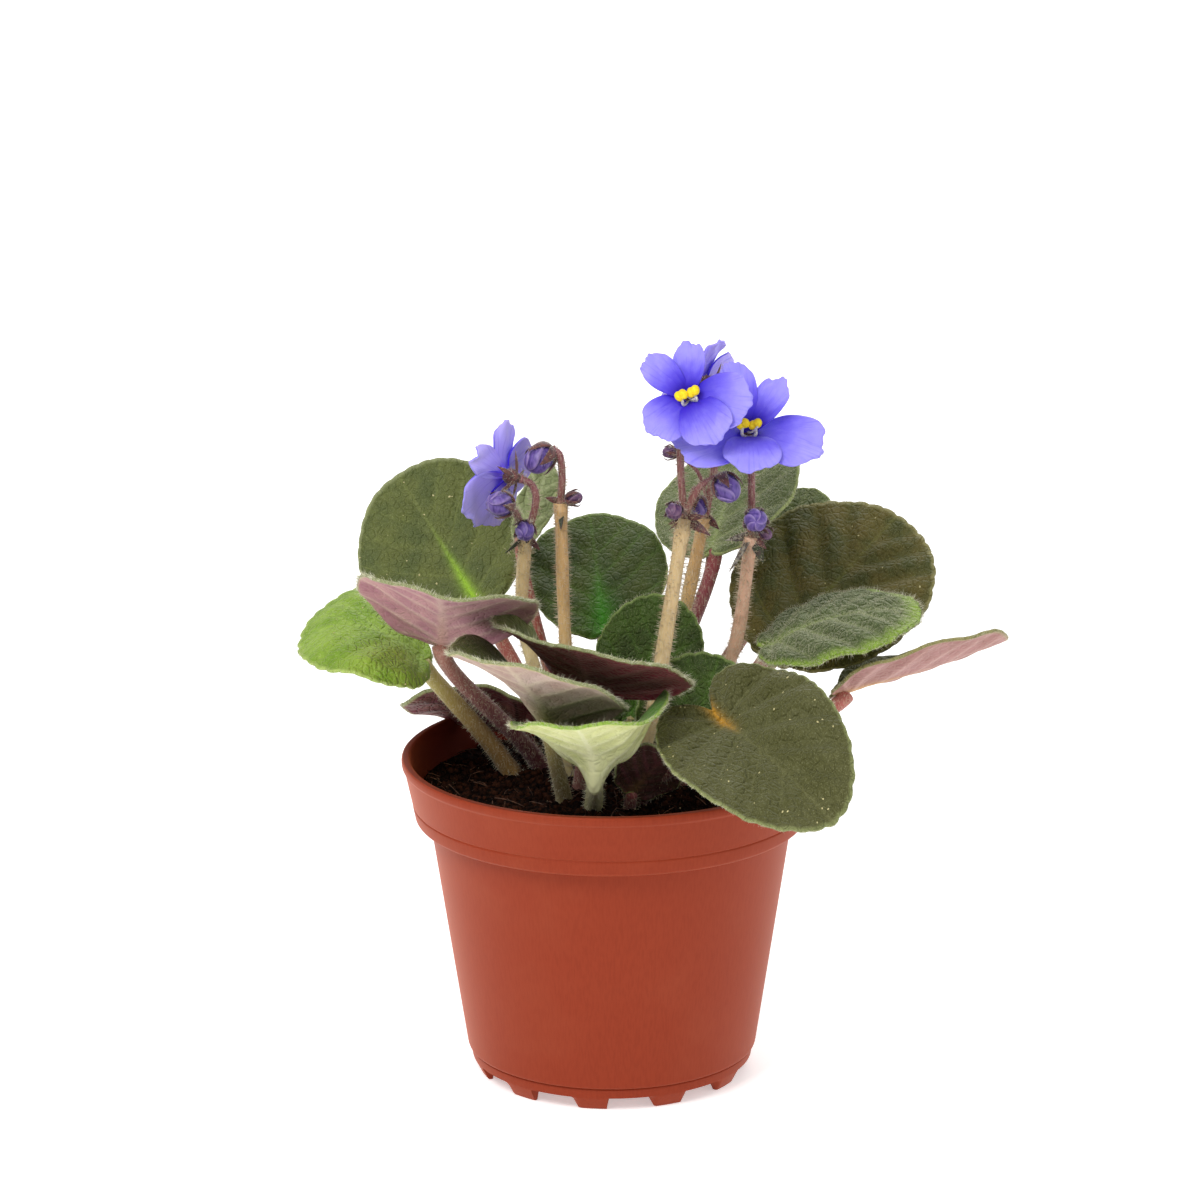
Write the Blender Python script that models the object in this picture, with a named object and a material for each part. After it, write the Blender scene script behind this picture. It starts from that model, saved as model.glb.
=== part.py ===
"""Potted African violet: a moulded plastic nursery pot, its soil, and the plant that grows in it.

Every place is given in millimetres from the pot's axis at floor level: +X to the right, +Y to the
back, +Z up. The pot's axis itself stands at (AXIS_X, AXIS_Y), so that the origin lies under the
middle of the whole plant.
"""

import math
from dataclasses import dataclass

import bmesh
import bpy
import numpy as np
from mathutils import Matrix, Vector

MM = 0.001
GAP = 0.3

# Where the pot's axis stands from the origin.
AXIS_X = -12.5
AXIS_Y = 5.0

# Pot: a 12 cm nursery pot.
RIM_RADIUS = 60.0
POT_HEIGHT = 94.0
BAND_HEIGHT = 18.0
BAND_FOOT_RADIUS = 56.2
BODY_TOP_RADIUS = 52.0
HEEL_RADIUS = 41.8
HEEL_HEIGHT = 8.0
FOOT_RADIUS = 38.4
FOOT_HEIGHT = 4.0
FOOT_TAPER = 0.988
FOOT_COUNT = 11
FOOT_TURN = -107.6
WALL = 1.3
FLOOR = 1.5
POT_SECTORS = 44
DRAIN_COUNT = 6
DRAIN_RADIUS = 4.0
DRAIN_SIDES = 10
DRAIN_CIRCLE = 24.0

# Soil.
SOIL_TOP = 84.0

# Leaf blades: an ellipse along the midrib, cut by a notch where the petiole joins.
BLADE_CENTRE = 0.44
BLADE_HALF_LENGTH = 0.56
NOTCH_DEPTH = 0.72
NOTCH_WIDTH = 0.38
CUP_POWER = 1.7
BLADE_SECTORS = 16
BLADE_RINGS = (0.22, 0.62, 1.0)
BLADE_THICKNESS = 1.5
MARGIN_THICKNESS = 0.8
PETIOLE_SIDES = 8
PETIOLE_SECTIONS = 7
PETIOLE_RISE = 0.25

# Flowers.
COROLLA_SECTORS = 30
COROLLA_RINGS = (0.2, 0.6, 1.0)
COROLLA_THICKNESS = 0.9
LOBE_TURN = 2 * math.pi / 5
LOBE_WAIST = 0.42
LOBE_ROUNDNESS = 0.35
STALK_SIDES = 8
SMALL_SIDES = 10
BUD_ROWS = 7
ANTHER_ROWS = 6
ANTHER_SIZE = (3.0, 1.7, 1.6)
ANTHER_AHEAD = 3.2
ANTHER_BELOW = 0.6
# The calyx: how far each of its rounds is behind the throat, and its radius.
CALYX_ROUNDS = ((1.3, 3.0), (3.4, 2.4), (5.0, 1.2))


@dataclass(frozen=True)
class Finish:
    """One plain material: its colour in linear light, its roughness and its metallic value."""

    colour: tuple
    roughness: float
    metallic: float = 0.0


TERRACOTTA_PLASTIC = Finish((0.38, 0.052, 0.021), 0.45)
PEAT = Finish((0.022, 0.013, 0.009), 0.95)
OLIVE_LEAF = Finish((0.052, 0.066, 0.027), 0.6)
LIGHT_LEAF = Finish((0.16, 0.28, 0.05), 0.6)
GREY_LEAF = Finish((0.13, 0.18, 0.09), 0.7)
PINK_LEAF = Finish((0.33, 0.18, 0.2), 0.6)
DARK_LEAF = Finish((0.08, 0.02, 0.033), 0.6)
STALK = Finish((0.5, 0.34, 0.16), 0.6)
VIOLET = Finish((0.14, 0.1, 0.78), 0.5)
BUD_VIOLET = Finish((0.11, 0.07, 0.3), 0.5)
SEPAL = Finish((0.16, 0.05, 0.045), 0.65)
POLLEN = Finish((0.85, 0.62, 0.02), 0.6)


@dataclass(frozen=True)
class Leaf:
    """One leaf: where its petiole starts, where its blade joins it, its tip and the way it faces."""

    name: str
    root: tuple
    joint: tuple
    tip: tuple
    face: tuple
    width: float
    cups: tuple = (1.0, 1.0)
    bow: float = 0.0
    petiole: tuple = (2.4, 1.9)
    finish: Finish = OLIVE_LEAF


LEAVES = (
    Leaf("leaf_back_left", (-13, 20, 84), (-40, 34, 131), (-63, 63, 161), (-0.1, -0.95, 0.25), 52, bow=-3),
    Leaf("leaf_far_left", (-28, 14, 84), (-54, -4, 125), (-88, -4, 131), (-0.1, -0.3, 0.95), 44,
         (1, 0.5), 6, (2.8, 2.2), LIGHT_LEAF),
    Leaf("leaf_left_pink", (-19, 17, 84), (-47, -10, 132), (-47, -51, 157), (0.25, 0.5, 0.83), 50,
         (9, 3), 2, (2.6, 2.1), PINK_LEAF),
    Leaf("leaf_back_middle", (-3, 19, 84), (-2, 26, 126), (-6, 62, 149), (0, -0.85, 0.5), 41, (2, 3)),
    Leaf("leaf_centre_purple", (-9, -4, 84), (-4, -16, 119), (-9, -57, 143), (0.25, 0.53, 0.8), 58,
         (5, 6), -1, finish=DARK_LEAF),
    Leaf("leaf_front_pink", (-13, -13, 84), (-15, -27, 117), (-28, -66, 142), (0.25, 0.45, 0.85), 51,
         (2, 4), -1, finish=PINK_LEAF),
    Leaf("leaf_front_small", (-5, -20, 84), (-4, -33, 107), (-9, -68, 125), (0, 0.1, 1), 43,
         (6, 3), -1, (2.7, 2.2), LIGHT_LEAF),
    Leaf("leaf_low_left", (-21, 23, 84), (-26, 25, 96), (-59, 14, 107), (0, 0.55, 0.83), 36,
         (1, 2), 2, finish=DARK_LEAF),
    Leaf("leaf_front_right", (6, -16, 84), (26, -37, 118), (60, -83, 101), (-0.07, -0.78, 0.63), 46,
         (4, 8), 5),
    Leaf("leaf_right_inner", (13, -4, 84), (20, -8, 93), (31, -4, 124), (0.1, -0.9, 0.4), 35,
         (2, 1), 1),
    Leaf("leaf_middle_small", (4, 4, 84), (6, 4, 105), (17, 13, 137), (-0.05, -0.93, 0.35), 31),
    Leaf("leaf_back_right", (17, 15, 84), (49, 19, 122), (84, 49, 152), (-0.4, -0.8, 0.45), 59, (1, 3)),
    Leaf("leaf_right_hairy", (16, 5, 84), (46, 6, 127), (88, 4, 137), (-0.1, -0.2, 0.97), 41,
         (-3, -1), 3, finish=GREY_LEAF),
    Leaf("leaf_far_right", (20, -2, 84), (67, 2, 114), (113, 10, 127), (-0.45, 0.42, 0.8), 38,
         (4, 3), -2, finish=PINK_LEAF),
    Leaf("leaf_back_hairy", (7, 24, 84), (29, 34, 148), (40, 70, 171), (-0.5, -0.78, 0.35), 46,
         (2, 1), -1, finish=GREY_LEAF),
    Leaf("leaf_back_small", (16, 26, 84), (50, 54, 137), (59, 73, 154), (-0.15, -0.55, 0.82), 26),
    Leaf("leaf_bud_back", (-12, 29, 84), (-25, 34, 149), (-17, 42, 169), (0.3, 0.5, 0.5), 11,
         petiole=(1.8, 1.5)),
    Leaf("leaf_low_front", (5, -22, 84), (6, -24, 92), (17, -29, 105), (0.1, 0.8, 0.6), 20,
         petiole=(1.9, 1.6), finish=DARK_LEAF),
)


@dataclass(frozen=True)
class Peduncle:
    """One flower stalk: its route up, and the thinner pedicels that branch from its head."""

    name: str
    route: tuple
    radius: float
    pedicels: tuple


PEDUNCLES = (
    Peduncle("peduncle_left", ((-12, 6, 84), (-20, 6, 112), (-25, 5, 135), (-24, 5, 158)), 2.1, (
        ((-24, 5, 156), (-21, 4, 167), (-22, 5, 172), (-25, 5, 174)),
        ((-24, 5, 157), (-26, 0, 164), (-28, -4, 167)),
    )),
    Peduncle("peduncle_left_inner", ((-6, 7, 84), (-11, 4, 108), (-13, 4, 130), (-14, 8, 167)), 2.0, (
        ((-14, 8, 165), (-13.5, 8, 174), (-14.5, 8, 181)),
    )),
    Peduncle("peduncle_tall", ((5, -6, 84), (8, -11, 98), (12, -12, 111), (21, -2, 165)), 2.3, (
        ((21, -2, 164), (20, -2, 178), (20, -2, 189), (21, 0, 195)),
        ((21, -2, 165), (25, -3, 173), (29, -3.5, 175.5)),
    )),
    Peduncle("peduncle_back", ((11, 15, 84), (17, 18, 112), (22, 17, 135), (27, 12, 162)), 2.1, (
        ((27, 12, 160), (30, 12, 178), (29, 10, 196)),
    )),
    Peduncle("peduncle_right", ((13, 9, 84), (28, 11, 106), (36, 8, 126), (40, -2, 160)), 2.1, (
        ((40, -2, 158), (40, 0, 174), (40, 2, 181)),
    )),
)
PEDICEL_RADIUS = 1.1


@dataclass(frozen=True)
class Flower:
    """One open flower.

    It has the middle of its throat, the way it looks, its upward side, the lengths of its five
    lobes clockwise from the upper right one, and how steeply the upper and lower ones rise.
    """

    name: str
    centre: tuple
    axis: tuple
    up: tuple
    lobes: tuple
    slopes: tuple = (0.15, 0.1)


FLOWERS = (
    Flower("left", (-30, 6, 175), (-0.8, 0.55, 0.1), (-0.2, -0.3, 1), (15, 17, 17, 16, 15)),
    Flower("front", (22, -5, 200), (-0.1, -0.85, 0.5), (-0.33, 0.3, 1), (15, 19, 16, 15, 14), (0.25, 0.1)),
    Flower("back", (26, 14, 201), (-0.6, 0.55, 0.55), (-0.3, 0, 1), (12, 13, 13, 13, 12)),
    Flower("right", (39, -2, 189), (0.05, -0.5, 0.87), (0, 0.5, 0.8), (15, 23, 19, 20, 14), (0.75, 0.05)),
)


@dataclass(frozen=True)
class Bud:
    """One closed bud: its middle, the way its tip points and its two radii."""

    name: str
    centre: tuple
    axis: tuple
    radius: float
    half_length: float


BUDS = (
    Bud("bud_left_open", (-31, -8, 170), (-0.7, -0.5, 0.3), 3.6, 4.0),
    Bud("bud_left_low", (-24, -4, 161), (-0.1, -0.9, -0.2), 2.8, 3.0),
    Bud("bud_left_high", (-20, 8, 179), (-0.6, -0.3, -0.4), 4.0, 4.6),
    Bud("bud_left_tiny", (-10, 6, 168), (0.9, -0.2, 0.2), 1.9, 2.4),
    Bud("bud_tall_low", (18, -9, 168), (-0.2, -0.9, -0.1), 2.4, 2.8),
    Bud("bud_tall_side", (33, -7, 174), (0.4, -0.5, -0.6), 3.9, 4.2),
    Bud("bud_middle", (25, 3, 166), (0, -0.3, -0.8), 2.7, 3.0),
    Bud("bud_right", (41, -8, 165), (0, -0.8, 0.1), 3.3, 3.6),
    Bud("bud_right_tiny", (44, -4, 160), (0.5, -0.5, -0.4), 1.7, 2.0),
    Bud("bud_back_tiny", (17, 11, 180), (-0.8, -0.2, 0.2), 1.7, 2.1),
)


def clear_scene():
    """Remove whatever the file opened with."""
    for item in list(bpy.data.objects):
        bpy.data.objects.remove(item, do_unlink=True)


def material(name, finish):
    """Make one Principled material from a finish."""
    made = bpy.data.materials.new(name)
    made.use_nodes = True
    shader = made.node_tree.nodes["Principled BSDF"]
    shader.inputs["Base Color"].default_value = (*finish.colour, 1.0)
    shader.inputs["Roughness"].default_value = finish.roughness
    shader.inputs["Metallic"].default_value = finish.metallic
    made.diffuse_color = (*finish.colour, 1.0)
    return made


def add_object(name, bm, finish, parent):
    """Turn a mesh in millimetres into a named object that stands on the pot's axis."""
    bm.normal_update()
    bmesh.ops.recalc_face_normals(bm, faces=bm.faces)
    if bm.calc_volume(signed=True) < 0:
        bmesh.ops.reverse_faces(bm, faces=bm.faces)
    bmesh.ops.scale(bm, vec=(MM, MM, MM), verts=bm.verts)
    mesh = bpy.data.meshes.new(name)
    bm.to_mesh(mesh)
    bm.free()
    mesh.shade_smooth()
    mesh.set_sharp_from_angle(angle=math.radians(40))
    mesh.materials.append(material(name, finish))
    made = bpy.data.objects.new(name, mesh)
    bpy.context.collection.objects.link(made)
    made.parent = parent
    return made


def bridge(bm, lower, upper):
    """Join two rings of the same number of points with quads."""
    count = len(lower)
    for i in range(count):
        j = (i + 1) % count
        bm.faces.new((lower[i], lower[j], upper[j], upper[i]))


def ring(bm, points):
    """Add one ring of points."""
    return [bm.verts.new(point) for point in points]


def bezier(points, t):
    """A point on the cubic curve of four points."""
    a, b, c, d = (np.array(point, float) for point in points)
    s = 1.0 - t
    return s ** 3 * a + 3 * s * s * t * b + 3 * s * t * t * c + t ** 3 * d


def smooth_route(points, steps):
    """Points on a Catmull-Rom curve through a route's points."""
    knots = [np.array(point, float) for point in points]
    knots = [2 * knots[0] - knots[1]] + knots + [2 * knots[-1] - knots[-2]]
    route = []
    for i in range(1, len(knots) - 2):
        before, start, end, after = knots[i - 1:i + 3]
        for step in range(steps):
            t = step / steps
            route.append(0.5 * (2 * start + (end - before) * t
                                + (2 * before - 5 * start + 4 * end - after) * t * t
                                + (3 * start - before - 3 * end + after) * t ** 3))
    route.append(knots[-2])
    return route


def tube_sections(route, radii, side, sides=STALK_SIDES):
    """Rings of points along a route; the first side of every ring looks towards one direction."""
    sections = []
    for i, point in enumerate(route):
        ahead = route[min(i + 1, len(route) - 1)] - route[max(i - 1, 0)]
        ahead /= np.linalg.norm(ahead)
        first = side - ahead * (side @ ahead)
        first /= np.linalg.norm(first)
        second = np.cross(ahead, first)
        turns = [2 * math.pi * k / sides for k in range(sides)]
        sections.append([point + radii[i] * (math.cos(a) * first + math.sin(a) * second)
                         for a in turns])
    return sections


def level(section):
    """Lay a tube's first ring flat, at the height of its middle."""
    height = sum(point[2] for point in section) / len(section)
    return [(point[0], point[1], height) for point in section]


def tube(bm, route, radii, side, on_soil):
    """A closed tube with flat ends; one that starts on the soil stands level on it."""
    sections = tube_sections(route, radii, side)
    if on_soil:
        sections[0] = level(sections[0])
    rings = [ring(bm, section) for section in sections]
    for lower, upper in zip(rings, rings[1:]):
        bridge(bm, lower, upper)
    bm.faces.new(list(reversed(rings[0])))
    bm.faces.new(rings[-1])


def unite(name, meshes, finish, parent):
    """Join closed shapes that overlap into one closed body."""
    first, *others = [add_object(name + "_piece", bm, finish, parent) for bm in meshes]
    first.name = name
    first.data.name = name
    for other in others:
        union = first.modifiers.new("union", "BOOLEAN")
        union.operation = "UNION"
        union.solver = "EXACT"
        union.object = other
        other.hide_render = True
        other.display_type = "WIRE"
    return first


class Blade:
    """The curved sheet of one leaf, measured from the place where its petiole joins."""

    def __init__(self, leaf):
        self.joint = np.array(leaf.joint, float)
        along = np.array(leaf.tip, float) - self.joint
        self.length = np.linalg.norm(along)
        self.along = along / self.length
        face = np.array(leaf.face, float)
        normal = face - self.along * (face @ self.along)
        self.normal = normal / np.linalg.norm(normal)
        self.side = np.cross(self.along, self.normal)
        self.half_width = leaf.width / 2
        self.cups = leaf.cups
        self.bow = leaf.bow

    def reach(self, turn):
        """How far the margin is from the joint at one turn from the tip, in lengths."""
        half = self.half_width / self.length
        a = (math.cos(turn) / BLADE_HALF_LENGTH) ** 2 + (math.sin(turn) / half) ** 2
        b = -2 * BLADE_CENTRE * math.cos(turn) / BLADE_HALF_LENGTH ** 2
        c = (BLADE_CENTRE / BLADE_HALF_LENGTH) ** 2 - 1
        ellipse = (math.sqrt(b * b - 4 * a * c) - b) / (2 * a)
        from_back = math.pi - abs(turn)
        return ellipse * (1 - NOTCH_DEPTH * math.exp(-(from_back / NOTCH_WIDTH) ** 2))

    def point(self, turn, share, drop=0.0):
        """A point on the sheet at a turn and a share of the way out, lowered by a drop."""
        distance = share * self.reach(turn)
        x = distance * math.cos(turn)
        y = distance * math.sin(turn)
        cup = self.cups[0] if y < 0 else self.cups[1]
        height = cup * abs(y * self.length / self.half_width) ** CUP_POWER
        height += 4 * self.bow * max(x, 0) * (1 - x)
        return (self.joint + self.length * (x * self.along + y * self.side)
                + (height - drop) * self.normal)


def petiole_route(leaf, blade):
    """The petiole's curve from the soil to the underside of the blade."""
    end = blade.joint - (BLADE_THICKNESS + 1.2) * blade.normal
    root = np.array(leaf.root, float) + np.array((0, 0, GAP))
    reach = np.linalg.norm(end - root)
    leave = (end - root) / reach + np.array((0, 0, PETIOLE_RISE))
    arrive = 0.8 * blade.normal + 0.6 * blade.along
    curve = (root, root + 0.3 * reach * leave, end - 0.22 * reach * arrive, end)
    return [bezier(curve, k / (PETIOLE_SECTIONS - 1)) for k in range(PETIOLE_SECTIONS)]


def build_leaf(leaf, parent):
    """One leaf as one closed body: the blade's two faces, its margin and the petiole under it."""
    blade = Blade(leaf)
    bm = bmesh.new()
    turns = [2 * math.pi * k / BLADE_SECTORS for k in range(BLADE_SECTORS)]
    turns = [turn if turn <= math.pi else turn - 2 * math.pi for turn in turns]
    top = [ring(bm, [blade.point(turn, share) for turn in turns]) for share in BLADE_RINGS]
    drops = (BLADE_THICKNESS, BLADE_THICKNESS, MARGIN_THICKNESS)
    bottom = [ring(bm, [blade.point(turn, share, drop) for turn in turns])
              for share, drop in zip(BLADE_RINGS, drops)]
    centre = bm.verts.new(blade.point(0.0, 0.0))
    for i in range(BLADE_SECTORS):
        bm.faces.new((centre, top[0][i], top[0][(i + 1) % BLADE_SECTORS]))
    for inner, outer in zip(top, top[1:]):
        bridge(bm, inner, outer)
    bridge(bm, top[-1], bottom[-1])
    for outer, inner in zip(reversed(bottom), reversed(bottom[:-1])):
        bridge(bm, outer, inner)
    route = petiole_route(leaf, blade)
    steps = np.linspace(0, 1, PETIOLE_SECTIONS)
    radii = leaf.petiole[0] + (leaf.petiole[1] - leaf.petiole[0]) * steps
    sections = tube_sections(route, radii, blade.along, PETIOLE_SIDES)
    sections[0] = level(sections[0])
    stalk = [ring(bm, section) for section in sections]
    for lower, upper in zip(stalk, stalk[1:]):
        bridge(bm, lower, upper)
    bm.faces.new(list(reversed(stalk[0])))
    neck = stalk[-1]
    # The neck's points run round the other way from the blade's, two sectors to a side.
    for k in range(PETIOLE_SIDES):
        a, b, c = (bottom[0][-(2 * k + i) % BLADE_SECTORS] for i in range(3))
        following = neck[(k + 1) % PETIOLE_SIDES]
        bm.faces.new((neck[k], a, b))
        bm.faces.new((neck[k], b, following))
        bm.faces.new((following, b, c))
    add_object(leaf.name, bm, leaf.finish, parent)


def pot_circle(radius, height):
    """One round of points about the pot's axis; the first one is where a foot begins."""
    turns = [math.radians(FOOT_TURN) + 2 * math.pi * k / POT_SECTORS for k in range(POT_SECTORS)]
    return [(radius * math.cos(turn), radius * math.sin(turn), height) for turn in turns]


def sector_of(point):
    """The number of the pot's sector that a point lies in, counted from the first foot."""
    turn = math.degrees(math.atan2(point.y, point.x)) - FOOT_TURN
    return int(turn % 360 / (360 / POT_SECTORS))


def build_pot(parent):
    """The pot: one moulded wall with a stepped band, eleven feet and a raised floor with holes."""
    inner_top = RIM_RADIUS - WALL
    step_height = POT_HEIGHT - BAND_HEIGHT
    floor_under = FOOT_HEIGHT
    floor_over = FOOT_HEIGHT + FLOOR
    profile = (
        (FOOT_RADIUS - WALL, floor_under), (FOOT_RADIUS + 0.8, floor_under),
        (HEEL_RADIUS - 0.7, HEEL_HEIGHT - 1.6), (HEEL_RADIUS, HEEL_HEIGHT),
        (BODY_TOP_RADIUS, step_height - 0.6), (BAND_FOOT_RADIUS - 0.6, step_height - 0.4),
        (BAND_FOOT_RADIUS, step_height + 0.3), (RIM_RADIUS - 1.4, POT_HEIGHT - 3.4),
        (RIM_RADIUS, POT_HEIGHT - 2.2), (RIM_RADIUS, POT_HEIGHT - 0.6), (RIM_RADIUS - 0.5, POT_HEIGHT),
        (inner_top - 0.6, POT_HEIGHT), (inner_top - 1.6, POT_HEIGHT - 2.6),
        (BAND_FOOT_RADIUS - WALL, step_height + 1.6), (BODY_TOP_RADIUS - WALL, step_height + 0.6),
        (HEEL_RADIUS - WALL, HEEL_HEIGHT), (HEEL_RADIUS - WALL - 1.2, floor_over),
    )
    bm = bmesh.new()
    rings = [ring(bm, pot_circle(radius, height)) for radius, height in profile]
    for lower, upper in zip(rings, rings[1:]):
        bridge(bm, lower, upper)
    for rim, height in ((rings[0], floor_under), (rings[-1], floor_over)):
        middle = bm.verts.new((0, 0, height))
        for k in range(POT_SECTORS):
            bm.faces.new((middle, rim[k], rim[(k + 1) % POT_SECTORS]))
    bm.normal_update()
    per_foot = POT_SECTORS // FOOT_COUNT
    pads = [face for face in bm.faces
            if all(abs(vert.co.z - floor_under) < 1e-4 for vert in face.verts)
            and face.calc_center_median().xy.length > FOOT_RADIUS - WALL
            and sector_of(face.calc_center_median()) % per_foot < per_foot // 2]
    extruded = bmesh.ops.extrude_face_region(bm, geom=pads)
    bmesh.ops.delete(bm, geom=pads, context="FACES")
    for vert in extruded["geom"]:
        if isinstance(vert, bmesh.types.BMVert):
            vert.co = (vert.co.x * FOOT_TAPER, vert.co.y * FOOT_TAPER, 0.0)
    pot = add_object("pot", bm, TERRACOTTA_PLASTIC, parent)
    for hole in range(DRAIN_COUNT):
        angle = 2 * math.pi * (hole + 0.5) / DRAIN_COUNT
        cutter = bmesh.new()
        place = Matrix.Translation((DRAIN_CIRCLE * math.cos(angle), DRAIN_CIRCLE * math.sin(angle),
                                    floor_under + FLOOR / 2))
        bmesh.ops.create_cone(cutter, cap_ends=True, segments=DRAIN_SIDES, radius1=DRAIN_RADIUS,
                              radius2=DRAIN_RADIUS, depth=3 * FLOOR, matrix=place)
        drill = add_object(f"drain_cutter_{hole + 1}", cutter, TERRACOTTA_PLASTIC, parent)
        drill.hide_render = True
        drill.display_type = "WIRE"
        cut = pot.modifiers.new("drain", "BOOLEAN")
        cut.operation = "DIFFERENCE"
        cut.solver = "EXACT"
        cut.object = drill


def build_soil(parent):
    """The peat: a plug that fills the pot up to a little below the rim."""
    step_height = POT_HEIGHT - BAND_HEIGHT
    clear = WALL + GAP
    base = FOOT_HEIGHT + FLOOR + GAP
    profile = (
        (HEEL_RADIUS - clear - 1.4, base), (HEEL_RADIUS - clear, HEEL_HEIGHT + 0.4),
        (BODY_TOP_RADIUS - clear, step_height + 0.9),
        (BAND_FOOT_RADIUS - clear - 0.3, step_height + 2.2),
        (BAND_FOOT_RADIUS - clear + 0.6, SOIL_TOP),
    )
    bm = bmesh.new()
    rings = [ring(bm, pot_circle(radius, height)) for radius, height in profile]
    for lower, upper in zip(rings, rings[1:]):
        bridge(bm, lower, upper)
    bm.faces.new(list(reversed(rings[0])))
    bm.faces.new(rings[-1])
    add_object("soil", bm, PEAT, parent)


def build_peduncle(stalk, parent):
    """One flower stalk with its pedicels, grown as one piece."""
    sideways = np.array((0.0, -1.0, 0.0))
    meshes = []
    for route, radius in ((stalk.route, stalk.radius),
                          *((pedicel, PEDICEL_RADIUS) for pedicel in stalk.pedicels)):
        bm = bmesh.new()
        points = smooth_route(route, 2)
        on_soil = route is stalk.route
        if on_soil:
            points[0] = points[0] + np.array((0, 0, GAP))
        radii = np.linspace(radius * 1.1, radius * 0.9, len(points))
        tube(bm, points, radii, sideways, on_soil)
        meshes.append(bm)
    unite(stalk.name, meshes, STALK, parent)


def frame_of(axis, up):
    """Three unit directions: along an axis, upwards across it, and to its right."""
    axis = np.array(axis, float)
    axis /= np.linalg.norm(axis)
    up = np.array(up, float)
    up = up - axis * (up @ axis)
    up /= np.linalg.norm(up)
    return axis, up, np.cross(up, axis)


def lobe_reach(flower, turn):
    """How far the corolla's edge is from the throat, and how steeply the lobe there rises."""
    number = int(turn % (2 * math.pi) / LOBE_TURN)
    bulge = abs(math.sin(math.pi * turn / LOBE_TURN)) ** LOBE_ROUNDNESS
    reach = flower.lobes[number] * (LOBE_WAIST + (1 - LOBE_WAIST) * bulge)
    return reach, flower.slopes[0 if number in (0, 4) else 1]


def build_corolla(flower, parent):
    """The five fused lobes as one thin closed sheet, a little dished towards the throat."""
    axis, up, right = frame_of(flower.axis, flower.up)
    centre = np.array(flower.centre, float)
    bm = bmesh.new()
    turns = [-math.pi + 2 * math.pi * (k + 0.5) / COROLLA_SECTORS for k in range(COROLLA_SECTORS)]

    def sheet(share, drop):
        points = []
        for turn in turns:
            reach, slope = lobe_reach(flower, turn)
            distance = share * reach
            points.append(centre + distance * (math.cos(turn) * up + math.sin(turn) * right)
                          + (slope * distance - drop) * axis)
        return ring(bm, points)

    top = [sheet(share, 0.0) for share in COROLLA_RINGS]
    bottom = [sheet(share, COROLLA_THICKNESS) for share in COROLLA_RINGS]
    for inner, outer in zip(top, top[1:]):
        bridge(bm, inner, outer)
    bridge(bm, top[-1], bottom[-1])
    for inner, outer in zip(bottom, bottom[1:]):
        bridge(bm, outer, inner)
    bm.faces.new(list(reversed(top[0])))
    bm.faces.new(bottom[0])
    add_object("corolla_" + flower.name, bm, VIOLET, parent)


def build_calyx(flower, parent):
    """The small green-brown cup behind a corolla."""
    axis, up, right = frame_of(flower.axis, flower.up)
    centre = np.array(flower.centre, float)
    bm = bmesh.new()
    rings = []
    angles = [2 * math.pi * k / SMALL_SIDES for k in range(SMALL_SIDES)]
    for back, radius in CALYX_ROUNDS:
        rings.append(ring(bm, [centre - back * axis + radius * (math.cos(a) * up + math.sin(a) * right)
                               for a in angles]))
    for lower, upper in zip(rings, rings[1:]):
        bridge(bm, lower, upper)
    bm.faces.new(list(reversed(rings[0])))
    bm.faces.new(rings[-1])
    add_object("calyx_" + flower.name, bm, SEPAL, parent)


def build_anthers(flower, parent):
    """The pair of yellow anthers, joined face to face, that stands in the throat."""
    axis, up, right = frame_of(flower.axis, flower.up)
    centre = np.array(flower.centre, float) + ANTHER_AHEAD * axis - ANTHER_BELOW * up
    bm = bmesh.new()
    bmesh.ops.create_uvsphere(bm, u_segments=SMALL_SIDES, v_segments=ANTHER_ROWS, radius=1.0)
    turn = Matrix((Vector(right), Vector(up), Vector(axis))).transposed()
    for vert in bm.verts:
        vert.co = turn @ (vert.co * Vector(ANTHER_SIZE)) + Vector(centre)
    add_object("anthers_" + flower.name, bm, POLLEN, parent)


def build_bud(bud, parent):
    """One closed bud, round with a blunt tip."""
    axis, up, right = frame_of(bud.axis, (0.1, 0.2, 1))
    bm = bmesh.new()
    bmesh.ops.create_uvsphere(bm, u_segments=SMALL_SIDES, v_segments=BUD_ROWS, radius=1.0)
    turn = Matrix((Vector(right), Vector(up), Vector(axis))).transposed()
    size = Vector((bud.radius, bud.radius, bud.half_length))
    for vert in bm.verts:
        vert.co = turn @ (vert.co * size) + Vector(bud.centre)
    add_object(bud.name, bm, BUD_VIOLET, parent)


def main():
    """Build the pot, the soil and the plant."""
    clear_scene()
    axis = bpy.data.objects.new("pot_axis", None)
    axis.location = (AXIS_X * MM, AXIS_Y * MM, 0.0)
    bpy.context.collection.objects.link(axis)
    build_pot(axis)
    build_soil(axis)
    for leaf in LEAVES:
        build_leaf(leaf, axis)
    for stalk in PEDUNCLES:
        build_peduncle(stalk, axis)
    for flower in FLOWERS:
        build_corolla(flower, axis)
        build_calyx(flower, axis)
        build_anthers(flower, axis)
    for bud in BUDS:
        build_bud(bud, axis)


main()
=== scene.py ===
"""A potted African violet: its moulded pot, the peat, hairy leaves, flower stalks, flowers and buds.

Every place in the plant is given in millimetres from the pot's axis at floor level: +X to the
right, +Y to the back, +Z up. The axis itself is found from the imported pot.
"""
import logging
import math
from dataclasses import dataclass
from enum import Enum
from typing import Callable, Dict, List, Optional, Sequence, Tuple

import bpy
import numpy as np
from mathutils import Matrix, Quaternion, Vector, noise


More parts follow.
